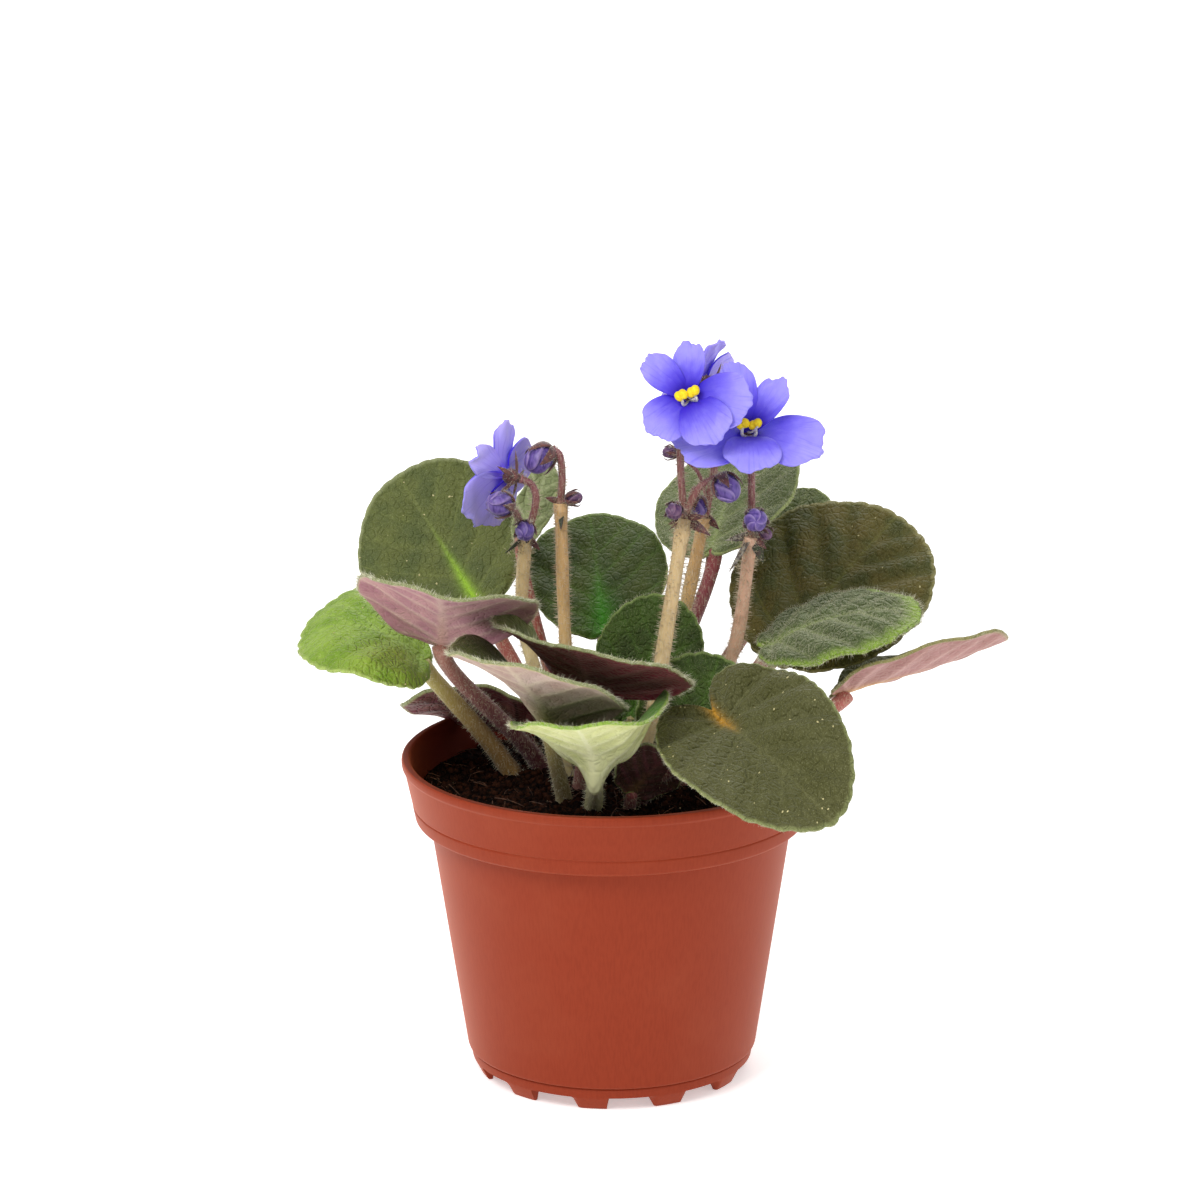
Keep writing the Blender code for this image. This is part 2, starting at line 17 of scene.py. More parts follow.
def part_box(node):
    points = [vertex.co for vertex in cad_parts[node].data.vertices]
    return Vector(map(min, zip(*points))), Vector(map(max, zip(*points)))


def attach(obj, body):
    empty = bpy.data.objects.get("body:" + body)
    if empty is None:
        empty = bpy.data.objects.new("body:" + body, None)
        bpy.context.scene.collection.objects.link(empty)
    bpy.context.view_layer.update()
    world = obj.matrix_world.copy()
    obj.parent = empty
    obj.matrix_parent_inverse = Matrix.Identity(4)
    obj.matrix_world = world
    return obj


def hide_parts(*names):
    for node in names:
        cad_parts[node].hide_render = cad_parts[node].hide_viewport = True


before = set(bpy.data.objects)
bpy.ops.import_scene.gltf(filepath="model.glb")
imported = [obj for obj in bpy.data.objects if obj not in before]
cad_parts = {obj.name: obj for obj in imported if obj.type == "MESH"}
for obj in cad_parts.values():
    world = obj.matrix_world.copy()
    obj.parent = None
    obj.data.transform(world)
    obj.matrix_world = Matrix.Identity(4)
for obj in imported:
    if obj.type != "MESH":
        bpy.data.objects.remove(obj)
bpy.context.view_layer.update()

bpy.ops.object.select_all(action="DESELECT")

log = logging.getLogger("violet")
MM = 0.001
Point = Tuple[float, float, float]
Pair = Tuple[float, float]
Shape = Callable[[np.ndarray, np.ndarray], np.ndarray]
MERGE = 1e-6  # metres; points nearer than this are one point


# ---------------------------------------------------------------- small geometry


def pot_axis() -> np.ndarray:
    """The foot of the pot's axis, in metres."""
    low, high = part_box("pot")
    return np.array(((low.x + high.x) / 2, (low.y + high.y) / 2, low.z))


AXIS = pot_axis()


def unit(vectors: np.ndarray) -> np.ndarray:
    """Vectors of length one."""
    return vectors / np.linalg.norm(vectors, axis=-1, keepdims=True)


def step(values: np.ndarray, low: float, high: float) -> np.ndarray:
    """A smooth rise from 0 at low to 1 at high."""
    t = np.clip((np.asarray(values, float) - low) / (high - low), 0, 1)
    return t * t * (3 - 2 * t)


def across_of(directions: np.ndarray, near: np.ndarray) -> np.ndarray:
    """Unit directions at right angles to some directions, as near as can be to others."""
    return unit(near - directions * (near * directions).sum(-1, keepdims=True))


def rough(points: np.ndarray, grain: float, seed: float = 0.0) -> np.ndarray:
    """Smooth noise from -1 to 1 at some points, with lumps about one grain wide."""
    return np.array([noise.noise(Vector(point) / grain + Vector((seed, -seed, seed)))
                     for point in points])


def smooth_route(points: Sequence[Point], steps: int) -> np.ndarray:
    """Points on a Catmull-Rom curve through a route's points.

    Args:
        points: the route's own points.
        steps: how many points each stretch gets.

    Returns:
        The points, in order, as rows.
    """
    knots = [np.array(point, float) for point in points]
    knots = [2 * knots[0] - knots[1]] + knots + [2 * knots[-1] - knots[-2]]
    route = []
    for i in range(1, len(knots) - 2):
        before, start, end, after = knots[i - 1:i + 3]
        for t in np.arange(steps) / steps:
            route.append(0.5 * (2 * start + (end - before) * t
                                + (2 * before - 5 * start + 4 * end - after) * t * t
                                + (3 * start - before - 3 * end + after) * t ** 3))
    return np.array(route + [knots[-2]])


def bezier(points: Sequence[np.ndarray], t: np.ndarray) -> np.ndarray:
    """Points on the cubic curve of four points."""
    t = t[:, None]
    a, b, c, d = points
    return (1 - t) ** 3 * a + 3 * (1 - t) ** 2 * t * b + 3 * (1 - t) * t * t * c + t ** 3 * d


# ---------------------------------------------------------------- modelling


def select_only(*pieces: bpy.types.Object) -> None:
    """Select some pieces alone; the first one is active."""
    bpy.ops.object.select_all(action="DESELECT")
    for piece in pieces:
        piece.select_set(True)
    bpy.context.view_layer.objects.active = pieces[0]


def edit(piece: bpy.types.Object, *steps: Callable[[], object]) -> None:
    """Run operators on all of a piece in edit mode.

    Args:
        piece: the piece.
        steps: the operators, in order.
    """
    select_only(piece)
    bpy.ops.object.mode_set(mode="EDIT")
    bpy.ops.mesh.select_all(action="SELECT")
    for operator in steps:
        operator()
    bpy.ops.object.mode_set(mode="OBJECT")


def tidy(piece: bpy.types.Object) -> None:
    """Close a piece's seams and poles and turn its faces outwards."""
    edit(piece, lambda: bpy.ops.mesh.remove_doubles(threshold=MERGE),
         lambda: bpy.ops.mesh.normals_make_consistent(inside=False))


def face_towards(piece: bpy.types.Object, way: np.ndarray) -> None:
    """Turn an open sheet's faces, which agree among themselves, towards a direction."""
    if sum((np.array(face.normal) @ way) * face.area for face in piece.data.polygons) < 0:
        edit(piece, lambda: bpy.ops.mesh.flip_normals())


def apply_modifier(piece: bpy.types.Object, kind: str, **settings: object) -> None:
    """Add one modifier to a piece and apply it.

    Args:
        piece: the piece.
        kind: the modifier's type.
        settings: its settings, by name.
    """
    modifier = piece.modifiers.new(kind.lower(), kind)
    for key, value in settings.items():
        setattr(modifier, key, value)
    select_only(piece)
    bpy.ops.object.modifier_apply(modifier=modifier.name)


def surface(name: str, columns: int, rows: int, shape: Shape, closed: bool = True,
            marks: Optional[Dict[str, Shape]] = None) -> bpy.types.Object:
    """Add a grid and lay it on a surface.

    Args:
        name: the piece's name.
        columns: faces round or across it.
        rows: faces along it.
        shape: gives points in millimetres for shares across and along, both from 0 to 1.
        closed: whether the edges meet, so that the surface is closed and can be turned outwards.
        marks: named values for the same shares, kept on the points for materials to read.

    Returns:
        The new piece, at the origin.
    """
    bpy.ops.object.select_all(action="DESELECT")
    bpy.ops.mesh.primitive_grid_add(x_subdivisions=columns, y_subdivisions=rows, size=1.0)
    piece = bpy.context.object
    piece.name = piece.data.name = name
    flat = np.empty(len(piece.data.vertices) * 3)
    piece.data.vertices.foreach_get("co", flat)
    flat = flat.reshape(-1, 3) + 0.5
    points = shape(flat[:, 0], flat[:, 1]) * MM + AXIS
    piece.data.vertices.foreach_set("co", points.ravel())
    for key, value in (marks or {}).items():
        values = value(flat[:, 0], flat[:, 1])
        kind = "FLOAT" if values.ndim == 1 else "FLOAT_VECTOR"
        layer = piece.data.attributes.new(key, kind, "POINT")
        layer.data.foreach_set("value" if values.ndim == 1 else "vector", values.ravel())
    piece.data.shade_smooth()
    if closed:
        tidy(piece)
    return piece


def tube(name: str, route: np.ndarray, radii: np.ndarray, sides: int = 12, flat: float = 1.0,
         broad: Point = (1.0, 0.0, 0.0)) -> bpy.types.Object:
    """A closed tube along a route.

    Args:
        name: the piece's name.
        route: its middle line, in millimetres.
        radii: its radius at each point of the route.
        sides: faces round it.
        flat: its thickness as a share of its breadth.
        broad: the direction in which it is broad.

    Returns:
        The tube, with the mark "rise" from 0 at its start to 1 at its end.
    """
    route = np.vstack((route[:1], route, route[-1:]))
    radii = np.concatenate(((0.0,), radii, (0.0,)))
    count = len(route)
    ahead = unit(route[np.minimum(np.arange(count) + 1, count - 1).clip(2)]
                 - route[np.maximum(np.arange(count) - 1, 0).clip(None, count - 3)])
    first = across_of(ahead, np.array(broad, float) + 1e-4)
    second = np.cross(ahead, first)

    def shape(across: np.ndarray, along: np.ndarray) -> np.ndarray:
        """The tube's skin."""
        i = np.rint(along * (count - 1)).astype(int)
        turn = 2 * math.pi * across[:, None]
        return route[i] + radii[i, None] * (np.cos(turn) * first[i] + flat * np.sin(turn) * second[i])

    return surface(name, sides, count - 1, shape, marks={"rise": lambda across, along: along})


def read_points(piece: bpy.types.Object) -> np.ndarray:
    """A piece's points, as rows, in metres."""
    points = np.empty(len(piece.data.vertices) * 3)
    piece.data.vertices.foreach_get("co", points)
    return points.reshape(-1, 3)


def copies(name: str, pattern: bpy.types.Object, places: np.ndarray, frames: np.ndarray) -> bpy.types.Object:
    """One mesh of many small copies of a pattern piece, which is then removed.

    Args:
        name: the piece's name.
        pattern: the small piece, in units of the frames.
        places: where each copy goes, in metres.
        frames: a 3 by 3 matrix for each copy, in metres, whose columns are its axes.

    Returns:
        The new piece.
    """
    own = read_points(pattern)
    faces = [tuple(face.vertices) for face in pattern.data.polygons]
    points = (places[:, None, :] + np.einsum("nij,vj->nvi", frames, own)).reshape(-1, 3)
    mesh = bpy.data.meshes.new(name)
    mesh.from_pydata(points, [], [tuple(v + shift for v in face)
                                  for shift in range(0, len(points), len(own)) for face in faces])
    mesh.shade_smooth()
    made = bpy.data.objects.new(name, mesh)
    bpy.context.scene.collection.objects.link(made)
    bpy.data.objects.remove(pattern, do_unlink=True)
    return made


def triangles_of(piece: bpy.types.Object, keep: Optional[int]) -> Tuple[np.ndarray, np.ndarray]:
    """A piece's triangles.

    Args:
        piece: the piece.
        keep: the number of the material whose faces are kept, or None for all.

    Returns:
        Each triangle's corners, in metres, and its normal, twice as long as its area.
    """
    mesh = piece.data
    mesh.calc_loop_triangles()
    corners = np.array([t.vertices for t in mesh.loop_triangles
                        if keep is None or t.material_index == keep])
    points = read_points(piece)[corners]
    normal = np.cross(points[:, 1] - points[:, 0], points[:, 2] - points[:, 0])
    return points, normal


@dataclass(frozen=True)
class Hairs:
    """A coat of fine hairs: how many per square centimetre, how long and how thick they are."""

    density: float
    length: float
    width: float = 0.09
    scatter: float = 0.35
    lean: Point = (0.0, 0.0, 0.0)

    def grow_at(self, name: str, roots: np.ndarray, ways: np.ndarray, seed: int) -> bpy.types.Object:
        """Hairs at given roots.

        Args:
            name: the piece's name.
            roots: their places, in metres.
            ways: unit directions in which they grow.
            seed: what its random draws start from.

        Returns:
            The hairs, as one piece.
        """
        random = np.random.default_rng(seed)
        count = len(roots)
        ways = unit(ways + np.array(self.lean) + random.normal(0, self.scatter, (count, 3)))
        sides = across_of(ways, random.normal(0, 1, (count, 3)))
        lengths = self.length * MM * random.uniform(0.55, 1.25, (count, 1))
        frames = np.stack((sides * self.width * MM, np.cross(ways, sides) * self.width * MM,
                           ways * lengths), axis=-1)
        bpy.ops.object.select_all(action="DESELECT")
        bpy.ops.mesh.primitive_cone_add(vertices=3, radius1=0.5, radius2=0.0, depth=1.0,
                                        location=(0, 0, 0.48))
        pattern = bpy.context.object
        bpy.ops.object.transform_apply(location=True)
        return copies(name, pattern, roots, frames)

    def grow_on(self, piece: bpy.types.Object, seed: int, keep: Optional[int] = None) -> bpy.types.Object:
        """Hairs all over a piece.

        Args:
            piece: the piece.
            seed: what its random draws start from.
            keep: the material whose faces alone bear hairs, or None for all.

        Returns:
            The hairs, as one piece.
        """
        random = np.random.default_rng(seed)
        corners, normals = triangles_of(piece, keep)
        areas = np.linalg.norm(normals, axis=1) / 2
        count = max(4, int(areas.sum() * 1e4 * self.density))
        chosen = random.choice(len(areas), count, p=areas / areas.sum())
        shares = random.dirichlet((1, 1, 1), count)
        roots = np.einsum("nk,nkd->nd", shares, corners[chosen])
        return self.grow_at(piece.name + "_hairs", roots, unit(normals[chosen]), seed)


def join(name: str, pieces: Sequence[bpy.types.Object]) -> bpy.types.Object:
    """Join pieces into one, which keeps the materials of all of them.

    Args:
        name: the name of the whole.
        pieces: the pieces, the first of which stays.

    Returns:
        The whole.
    """
    select_only(*pieces)
    if len(pieces) > 1:
        bpy.ops.object.join()
    pieces[0].name = pieces[0].data.name = name
    return pieces[0]


def hand_over(piece: bpy.types.Object, slot: str, *nodes: str) -> None:
    """Tell the frame what a finished piece is, and report it.

    Args:
        piece: the piece.
        slot: its material slot; not used.
        nodes: the solids it replaces.
    """
    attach(piece, "root")
    if nodes:
        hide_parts(*nodes)
    log.info("%s: %d faces, stands for %s", piece.name, len(piece.data.polygons), ", ".join(nodes))


# ---------------------------------------------------------------- materials


def linear(code: str) -> Tuple[float, float, float, float]:
    """The linear colour of an sRGB hex code."""
    values = [int(code[i:i + 2], 16) / 255 for i in (1, 3, 5)]
    low_high = [v / 12.92 if v <= 0.04045 else ((v + 0.055) / 1.055) ** 2.4 for v in values]
    return (*low_high, 1.0)


def add(tree: bpy.types.NodeTree, kind: str, links: Optional[Dict[object, object]] = None,
        **settings: object) -> bpy.types.Node:
    """Add a node.

    Args:
        tree: the material's node tree.
        kind: the node's type, without its ShaderNode prefix.
        links: for each input, by name or number, the socket that feeds it or its value.
        settings: the node's own settings.

    Returns:
        The new node.
    """
    node = tree.nodes.new("ShaderNode" + kind)
    for key, value in settings.items():
        setattr(node, key, value)
    for key, value in (links or {}).items():
        if isinstance(value, bpy.types.NodeSocket):
            tree.links.new(value, node.inputs[key])
        else:
            node.inputs[key].default_value = value
    return node


def mix(tree: bpy.types.NodeTree, share: object, first: object, second: object,
        blend: str = "MIX") -> bpy.types.NodeSocket:
    """The mix of two colours by a share; hex codes may stand for colours."""
    first, second = (linear(c) if isinstance(c, str) else c for c in (first, second))
    node = add(tree, "Mix", {0: share, 6: first, 7: second}, data_type="RGBA", blend_type=blend)
    return node.outputs[2]


def ramp(tree: bpy.types.NodeTree, value: bpy.types.NodeSocket, low: float, high: float,
         start: float = 0.0, end: float = 1.0) -> bpy.types.NodeSocket:
    """A smooth step of a value, from start at low to end at high."""
    node = add(tree, "MapRange", {"Value": value, 1: low, 2: high, 3: start, 4: end},
               interpolation_type="SMOOTHSTEP")
    return node.outputs["Result"]


def grain(tree: bpy.types.NodeTree, where: bpy.types.NodeSocket, per_unit: float, detail: float = 3.0,
          stretch: Point = (1.0, 1.0, 1.0)) -> bpy.types.NodeSocket:
    """Noise of so many lumps to one unit of a position."""
    placed = add(tree, "Mapping", {"Vector": where, "Scale": tuple(per_unit * s for s in stretch)})
    made = add(tree, "TexNoise", {"Vector": placed.outputs[0], "Scale": 1.0, "Detail": detail})
    return made.outputs["Fac"]


class Recipe:
    """A material while it is being put together."""

    def __init__(self, name: str, roughness: float, specular: float = 0.5) -> None:
        """Start a Principled material.

        Args:
            name: the material's name.
            roughness: its even roughness.
            specular: its specular level.
        """
        self.material = bpy.data.materials.new(name)
        self.material.use_nodes = True
        self.tree = self.material.node_tree
        self.shader = self.tree.nodes["Principled BSDF"]
        self.shader.inputs["Roughness"].default_value = roughness
        self.shader.inputs["Specular IOR Level"].default_value = specular

    def place(self) -> bpy.types.NodeSocket:
        """The position on the object, in metres."""
        return add(self.tree, "TexCoord").outputs["Object"]

    def mark(self, name: str, output: str = "Fac") -> bpy.types.NodeSocket:
        """A value, or with "Vector" a position, kept on the mesh's points."""
        return add(self.tree, "Attribute", attribute_name=name).outputs[output]

    def fuzz(self, weight: float, tint: str) -> None:
        """Give the surface the soft sheen of fine hairs."""
        self.shader.inputs["Sheen Weight"].default_value = weight
        self.shader.inputs["Sheen Roughness"].default_value = 0.5
        self.shader.inputs["Sheen Tint"].default_value = linear(tint)

    def glow(self, weight: float, depth: float) -> None:
        """Let light soak through the surface to a depth in millimetres."""
        self.shader.inputs["Subsurface Weight"].default_value = weight
        self.shader.inputs["Subsurface Radius"].default_value = (1.0, 0.7, 0.4)
        self.shader.inputs["Subsurface Scale"].default_value = depth * MM

    def colour(self, socket: object) -> None:
        """Set or link the base colour."""
        if isinstance(socket, str):
            self.shader.inputs["Base Color"].default_value = linear(socket)
        else:
            self.tree.links.new(socket, self.shader.inputs["Base Color"])

    def relief(self, height: bpy.types.NodeSocket, depth: float) -> None:
        """Bump the surface by a height map of so many millimetres."""
        bump = add(self.tree, "Bump", {"Height": height, "Distance": depth * MM, "Strength": 1.0})
        self.tree.links.new(bump.outputs[0], self.shader.inputs["Normal"])


@dataclass(frozen=True)
class PolypropyleneFinish:
    """Injection-moulded polypropylene: even terracotta colour, satin, with fine drawn streaks."""

    body: str = "#8a341d"
    streak: str = "#84301a"
    # Painted shade: the inside of the wall gets a darker copy of the terracotta, for the shade within the
    # pot.
    inside: str = "#5e1a10"
    chalk: str = "#984a30"
    satin: str = "#f0885c"

    def make(self) -> bpy.types.Material:
        """Build the material."""
        recipe = Recipe("polypropylene_moulded_terracotta", 0.45, 0.1)
        tree, place = recipe.tree, recipe.place()
        # The mould was polished up and down, which leaves streaks half a millimetre apart.
        streaks = grain(tree, place, 2000, 2.0, (1.0, 1.0, 0.03))
        clouds = grain(tree, place, 40, 3.0)
        tone = mix(tree, ramp(tree, streaks, 0.35, 0.7), self.body, self.streak)
        tone = mix(tree, ramp(tree, clouds, 0.5, 0.8, 0.0, 0.2), tone, self.chalk)
        # Painted shade: the inner wall and floor take the darker inside colour.
        recipe.colour(mix(tree, ramp(tree, recipe.mark("inside"), 0.4, 0.6), tone, self.inside))
        recipe.relief(streaks, 0.005)
        # The skin is a little translucent, so that it lights up warmly where it turns away.
        recipe.fuzz(0.35, self.satin)
        return recipe.material


@dataclass(frozen=True)
class PeatFinish:
    """Moist milled peat: nearly black, matt, with brown fibres and lighter grains."""

    dark: str = "#0b0605"
    brown: str = "#2e1a10"

    def make(self) -> bpy.types.Material:
        """Build the material."""
        recipe = Recipe("peat_moist", 0.9, 0.04)
        place = recipe.place()
        # Peat crumbs are half a millimetre to two millimetres across.
        crumbs = grain(recipe.tree, place, 700, 5.0)
        recipe.colour(mix(recipe.tree, ramp(recipe.tree, crumbs, 0.45, 0.7), self.dark, self.brown))
        recipe.relief(crumbs, 0.8)
        return recipe.material


@dataclass(frozen=True)
class PlainFinish:
    """One small natural thing of almost one colour, with a little mottle at its own scale."""

    name: str
    body: str
    mottle: str
    size: float = 1.0
    roughness: float = 0.6
    sheen: float = 0.0
    soak: float = 0.0
    shine: float = 0.4

    def make(self) -> bpy.types.Material:
        """Build the material."""
        recipe = Recipe(self.name, self.roughness, self.shine)
        spots = grain(recipe.tree, recipe.place(), 1 / (self.size * MM), 3.0)
        recipe.colour(mix(recipe.tree, ramp(recipe.tree, spots, 0.35, 0.65), self.body, self.mottle))
        recipe.relief(spots, 0.08 * self.size)
        if self.sheen:
            recipe.fuzz(self.sheen, "#ffffff")
        if self.soak:
            recipe.glow(0.3, self.soak)
        return recipe.material


@dataclass(frozen=True)
class StemSkin:
    """Fleshy stem skin: one colour at the foot, another at the head, with fine lengthwise lines."""

    name: str
    low: str
    high: str

    def make(self) -> bpy.types.Material:
        """Build the material."""
        recipe = Recipe("stem_" + self.name, 0.5, 0.4)
        tree, place = recipe.tree, recipe.place()
        # Epidermis cells run lengthwise, in lines a third of a millimetre apart.
        lines = grain(tree, place, 3000, 2.0, (1.0, 1.0, 0.12))
        tone = mix(tree, ramp(tree, recipe.mark("rise"), 0.1, 0.9), self.low, self.high)
        tone = mix(tree, ramp(tree, grain(tree, place, 250), 0.4, 0.75, 0.0, 0.22), tone, "#6a4a30")
        recipe.colour(mix(tree, ramp(tree, lines, 0.45, 0.7, 0.0, 0.25), tone, "#e8dcc0"))
        recipe.relief(lines, 0.05)
        recipe.fuzz(0.15, "#ffffff")
        recipe.glow(0.2, 1.0)
        return recipe.material


@dataclass(frozen=True)
class LeafSkin:
    """Skin of one face of a leaf: ground and mottle, veins, the foot of the midrib and the margin."""

    name: str
    ground: str
    mottle: str
    vein: str
    heart: str
    margin: str
    veins: float = 0.5
    hearts: float = 0.6
    dust: float = 0.25
    quilt: float = 0.35
    sheen: float = 0.15
    vein_width: float = 0.8
    margin_from: float = 0.968

    def make(self) -> bpy.types.Material:
        """Build the material."""
        recipe = Recipe("leaf_" + self.name, 0.55, 0.2)
        tree = recipe.tree
        flat = recipe.mark("flat", "Vector")
        # Colour drifts over lumps of about a centimetre; the flat map is in millimetres.
        drift = grain(tree, flat, 0.11, 3.0)
        tone = mix(tree, ramp(tree, drift, 0.35, 0.65), self.ground, self.mottle)
        # The net of small veins has meshes about two millimetres wide.
        net = add(tree, "TexVoronoi", {"Vector": flat, "Scale": 0.45}, feature="DISTANCE_TO_EDGE")
        mesh = ramp(tree, net.outputs["Distance"], 0.0, 0.22)
        tone = mix(tree, ramp(tree, mesh, 0.0, 1.0, 0.22 * self.veins, 0.0), tone, self.vein)
        gap = recipe.mark("vein")
        # Each large vein has a faint broad band and a clear narrow core.
        for start, width, share in ((0.2, 5.0, 0.35), (0.25, 1.0, 1.0)):
            near = ramp(tree, gap, start, width * self.vein_width, share * self.veins, 0.0)
            tone = mix(tree, near, tone, self.vein)
        foot = add(tree, "Math", {0: recipe.mark("heart"), 1: self.hearts}, operation="MULTIPLY")
        tone = mix(tree, foot.outputs[0], tone, self.heart)
        tone = mix(tree, ramp(tree, recipe.mark("edge"), self.margin_from, 1.0, 0.0, 0.6), tone, self.margin)
        # Short hairs lie a third of a millimetre apart and whiten the skin in specks.
        specks = grain(tree, flat, 2.6, 1.0)
        recipe.colour(mix(tree, ramp(tree, specks, 0.5, 0.8, 0.0, self.dust), tone, "#d2d2a4"))
        height = add(tree, "Math", {0: mesh, 1: grain(tree, flat, 1.3, 2.0)}, operation="ADD")
        recipe.relief(height.outputs[0], self.quilt)
        recipe.fuzz(self.sheen, "#eef0c8")
        return recipe.material


class Upper(Enum):
    """Upper faces of leaves."""

    OLIVE = LeafSkin("upper_olive", "#4b552a", "#5a612e", "#727a40", "#97c42c", "#aab080", 0.4, 0.9, 0.14)
    BROWN = LeafSkin("upper_brown_olive", "#42461e", "#5c5222", "#6a6830", "#5a6b2a", "#a39c66",
                     0.4, 0.6, 0.14)
    GREEN = LeafSkin("upper_green", "#3c4812", "#34431a", "#4c6a24", "#3a9010", "#8fa25c", 0.4, 0.9, 0.12)
    DEEP = LeafSkin("upper_deep_green", "#2c3c10", "#374c14", "#45641c", "#4f8222", "#93a860", 0.4, 0.5, 0.14)
    GREY = LeafSkin("upper_grey_green", "#56643a", "#4a562e", "#7f8a58", "#8a9a58", "#aebb74", 0.6, 0.5,
                    0.3, 0.4, 0.25)
    FELT = LeafSkin("upper_felted_green", "#4d5c34", "#414e2a", "#74804e", "#86a040", "#9fc43c", 0.5, 0.5,
                    0.35, 0.6, 0.35, margin_from=0.86)
    SILVER = LeafSkin("upper_silver_olive", "#48481f", "#50502a", "#6d6d44", "#d0962c", "#98a066",
                      0.35, 0.85, 0.16, 0.4, 0.15)
    LIME = LeafSkin("upper_lime", "#6c8e20", "#86a436", "#98b44c", "#a9c866", "#b8cc70", 0.4, 0.5, 0.3)
    YOUNG = LeafSkin("upper_young_green", "#4a7a2b", "#5f8a3a", "#6b9a45", "#8ab552", "#a9c94e", 0.4, 0.5)


class Under(Enum):
    """Undersides of leaves."""

    GREEN = LeafSkin("under_pale_green", "#7d8858", "#6d784c", "#9ea67a", "#b2b680", "#a3ab7c", 0.6, 0.5)
    PINK = LeafSkin("under_pink_mauve", "#b8858c", "#a36a7c", "#d4b8ac", "#b08474", "#b3b184", 0.4, 0.6,
                    0.08, 0.15, 0.1, 1.7)
    ROSE = LeafSkin("under_rose_pale", "#a97c7a", "#986a66", "#c7a298", "#c89a4c", "#a8a67a", 0.4, 0.8,
                    0.08, 0.15, 0.1, 0.8)
    BLUSH = LeafSkin("under_blush_olive", "#bea29c", "#ad8b84", "#d6c6ae", "#66681c", "#b0b464", 0.5, 1.0,
                     0.08, 0.15, 0.1, 1.5)
    PURPLE = LeafSkin("under_dark_purple", "#661f2b", "#762a37", "#8a4452", "#7a4452", "#78834e", 0.6, 0.5,
                      0.05, 0.25, 0.1, 0.9)
    # Painted shade: a darker copy of the purple underside, for the low leaf that sits in the shade near the
    # soil.
    PURPLE_SHADED = LeafSkin("under_purple_painted_shade", "#331418", "#3c2a1a", "#5a2c34", "#6a5a2a", "#78834e", 0.6, 0.5,
                    0.05, 0.25, 0.1, 0.9)
    WINE = LeafSkin("under_wine_brown", "#86504a", "#743442", "#4a1c26", "#7d3a50", "#9aa268", 0.7, 0.4,
                    0.05, 0.25, 0.1, 0.7)
    CREAM = LeafSkin("under_cream", "#dadd9e", "#c6cb84", "#ecedc8", "#eeeeba", "#a6c454", 0.5, 0.9, 0.08,
                     0.2, 0.1)


class Stem(Enum):
    """Stems and petioles."""

    TAN = StemSkin("tan", "#dccf98", "#d0b484")
    STRAW = StemSkin("straw", "#d6c084", "#caa26c")
    ROSE = StemSkin("rose", "#d2ae8c", "#d2a68c")
    RED = StemSkin("red_pedicel", "#84504c", "#7e434c")
    GREEN = StemSkin("olive_petiole", "#8a7b4a", "#a3965c")
    YELLOW = StemSkin("yellow_green_petiole", "#98763f", "#bdb56a")
    PALE = StemSkin("pale_petiole", "#9a9650", "#e2e2ae")
    PURPLE = StemSkin("purple_petiole", "#581a2a", "#ac7668")
    BLUSH = StemSkin("blush_petiole", "#8a5a55", "#ad8478")
    SCARLET = StemSkin("red_petiole", "#8c4038", "#a85a50")
    WINE = StemSkin("wine_petiole", "#57202a", "#8c3c42")


@dataclass(frozen=True)
class HairFinish:
    """Trichomes: clear, wet-looking hairs that look white against anything darker."""

    name: str = "trichomes_long"
    body: str = "#cfc9a6"
    light: str = "#efebd2"

    def make(self) -> bpy.types.Material:
        """Build the material."""
        recipe = Recipe(self.name, 0.4, 0.5)
        tint = grain(recipe.tree, recipe.place(), 300, 1.0)
        recipe.colour(mix(recipe.tree, ramp(recipe.tree, tint, 0.3, 0.7), self.body, self.light))
        return recipe.material


@dataclass(frozen=True)
class PetalFinish:
    """Petal tissue: violet blue, paler to the edge, deep at the throat, streaked and faintly beaded."""

    name: str = "petal_violet_blue"
    edge: str = "#9a91ee"
    body: str = "#7464e6"
    throat: str = "#2c04c8"
    depth: float = 0.76

    def make(self) -> bpy.types.Material:
        """Build the material."""
        recipe = Recipe(self.name, 0.5, 0.3)
        tree = recipe.tree
        reach, flat = recipe.mark("reach"), recipe.mark("flat", "Vector")
        # Veins fan out from the throat about a millimetre apart.
        streaks = grain(tree, flat, 1.0, 2.0, (1.1, 0.08, 1.0))
        tone = mix(tree, ramp(tree, reach, 0.35, 0.95), self.body, self.edge)
        tone = mix(tree, ramp(tree, streaks, 0.5, 0.75, 0.0, 0.35), tone, "#4a34d8")
        tone = mix(tree, ramp(tree, grain(tree, flat, 0.35), 0.4, 0.7, 0.0, 0.3), tone, "#a69cf6")
        tone = mix(tree, ramp(tree, reach, 0.1, self.depth, 1.0, 0.0), tone, self.throat)
        recipe.colour(tone)
        # Petal cells are beads; they are drawn a third of a millimetre wide, so that they show.
        recipe.relief(grain(tree, flat, 3.0, 1.0), 0.08)
        recipe.fuzz(0.2, "#d6d0ff")
        recipe.glow(0.25, 0.8)
        return recipe.material


@dataclass(frozen=True)
class BudFinish:
    """Petals still folded: violet, streaked, with a pale edge where each one laps over the next."""

    name: str
    body: str
    shade: str
    rim: str = "#a790c0"

    def make(self) -> bpy.types.Material:
        """Build the material."""
        recipe = Recipe(self.name, 0.4, 0.4)
        tree, lap = recipe.tree, recipe.mark("lap")
        # Veins run towards the tip, half a millimetre apart.
        streaks = grain(tree, recipe.place(), 1500, 2.0, (1.0, 1.0, 0.3))
        tone = mix(tree, ramp(tree, streaks, 0.35, 0.65), self.body, self.shade)
        # Painted shade: each petal's hidden edge, tucked under the next petal's free edge, is darkened with
        # the dark colour; the streaks use the same colour as real tone.
        tone = mix(tree, ramp(tree, lap, 0.3, 0.0, 0.0, 0.75), tone, self.shade)
        recipe.colour(mix(tree, ramp(tree, lap, 0.55, 0.95, 0.0, 0.5), tone, self.rim))
        recipe.relief(streaks, 0.1)
        recipe.fuzz(0.2, "#d6d0ff")
        return recipe.material


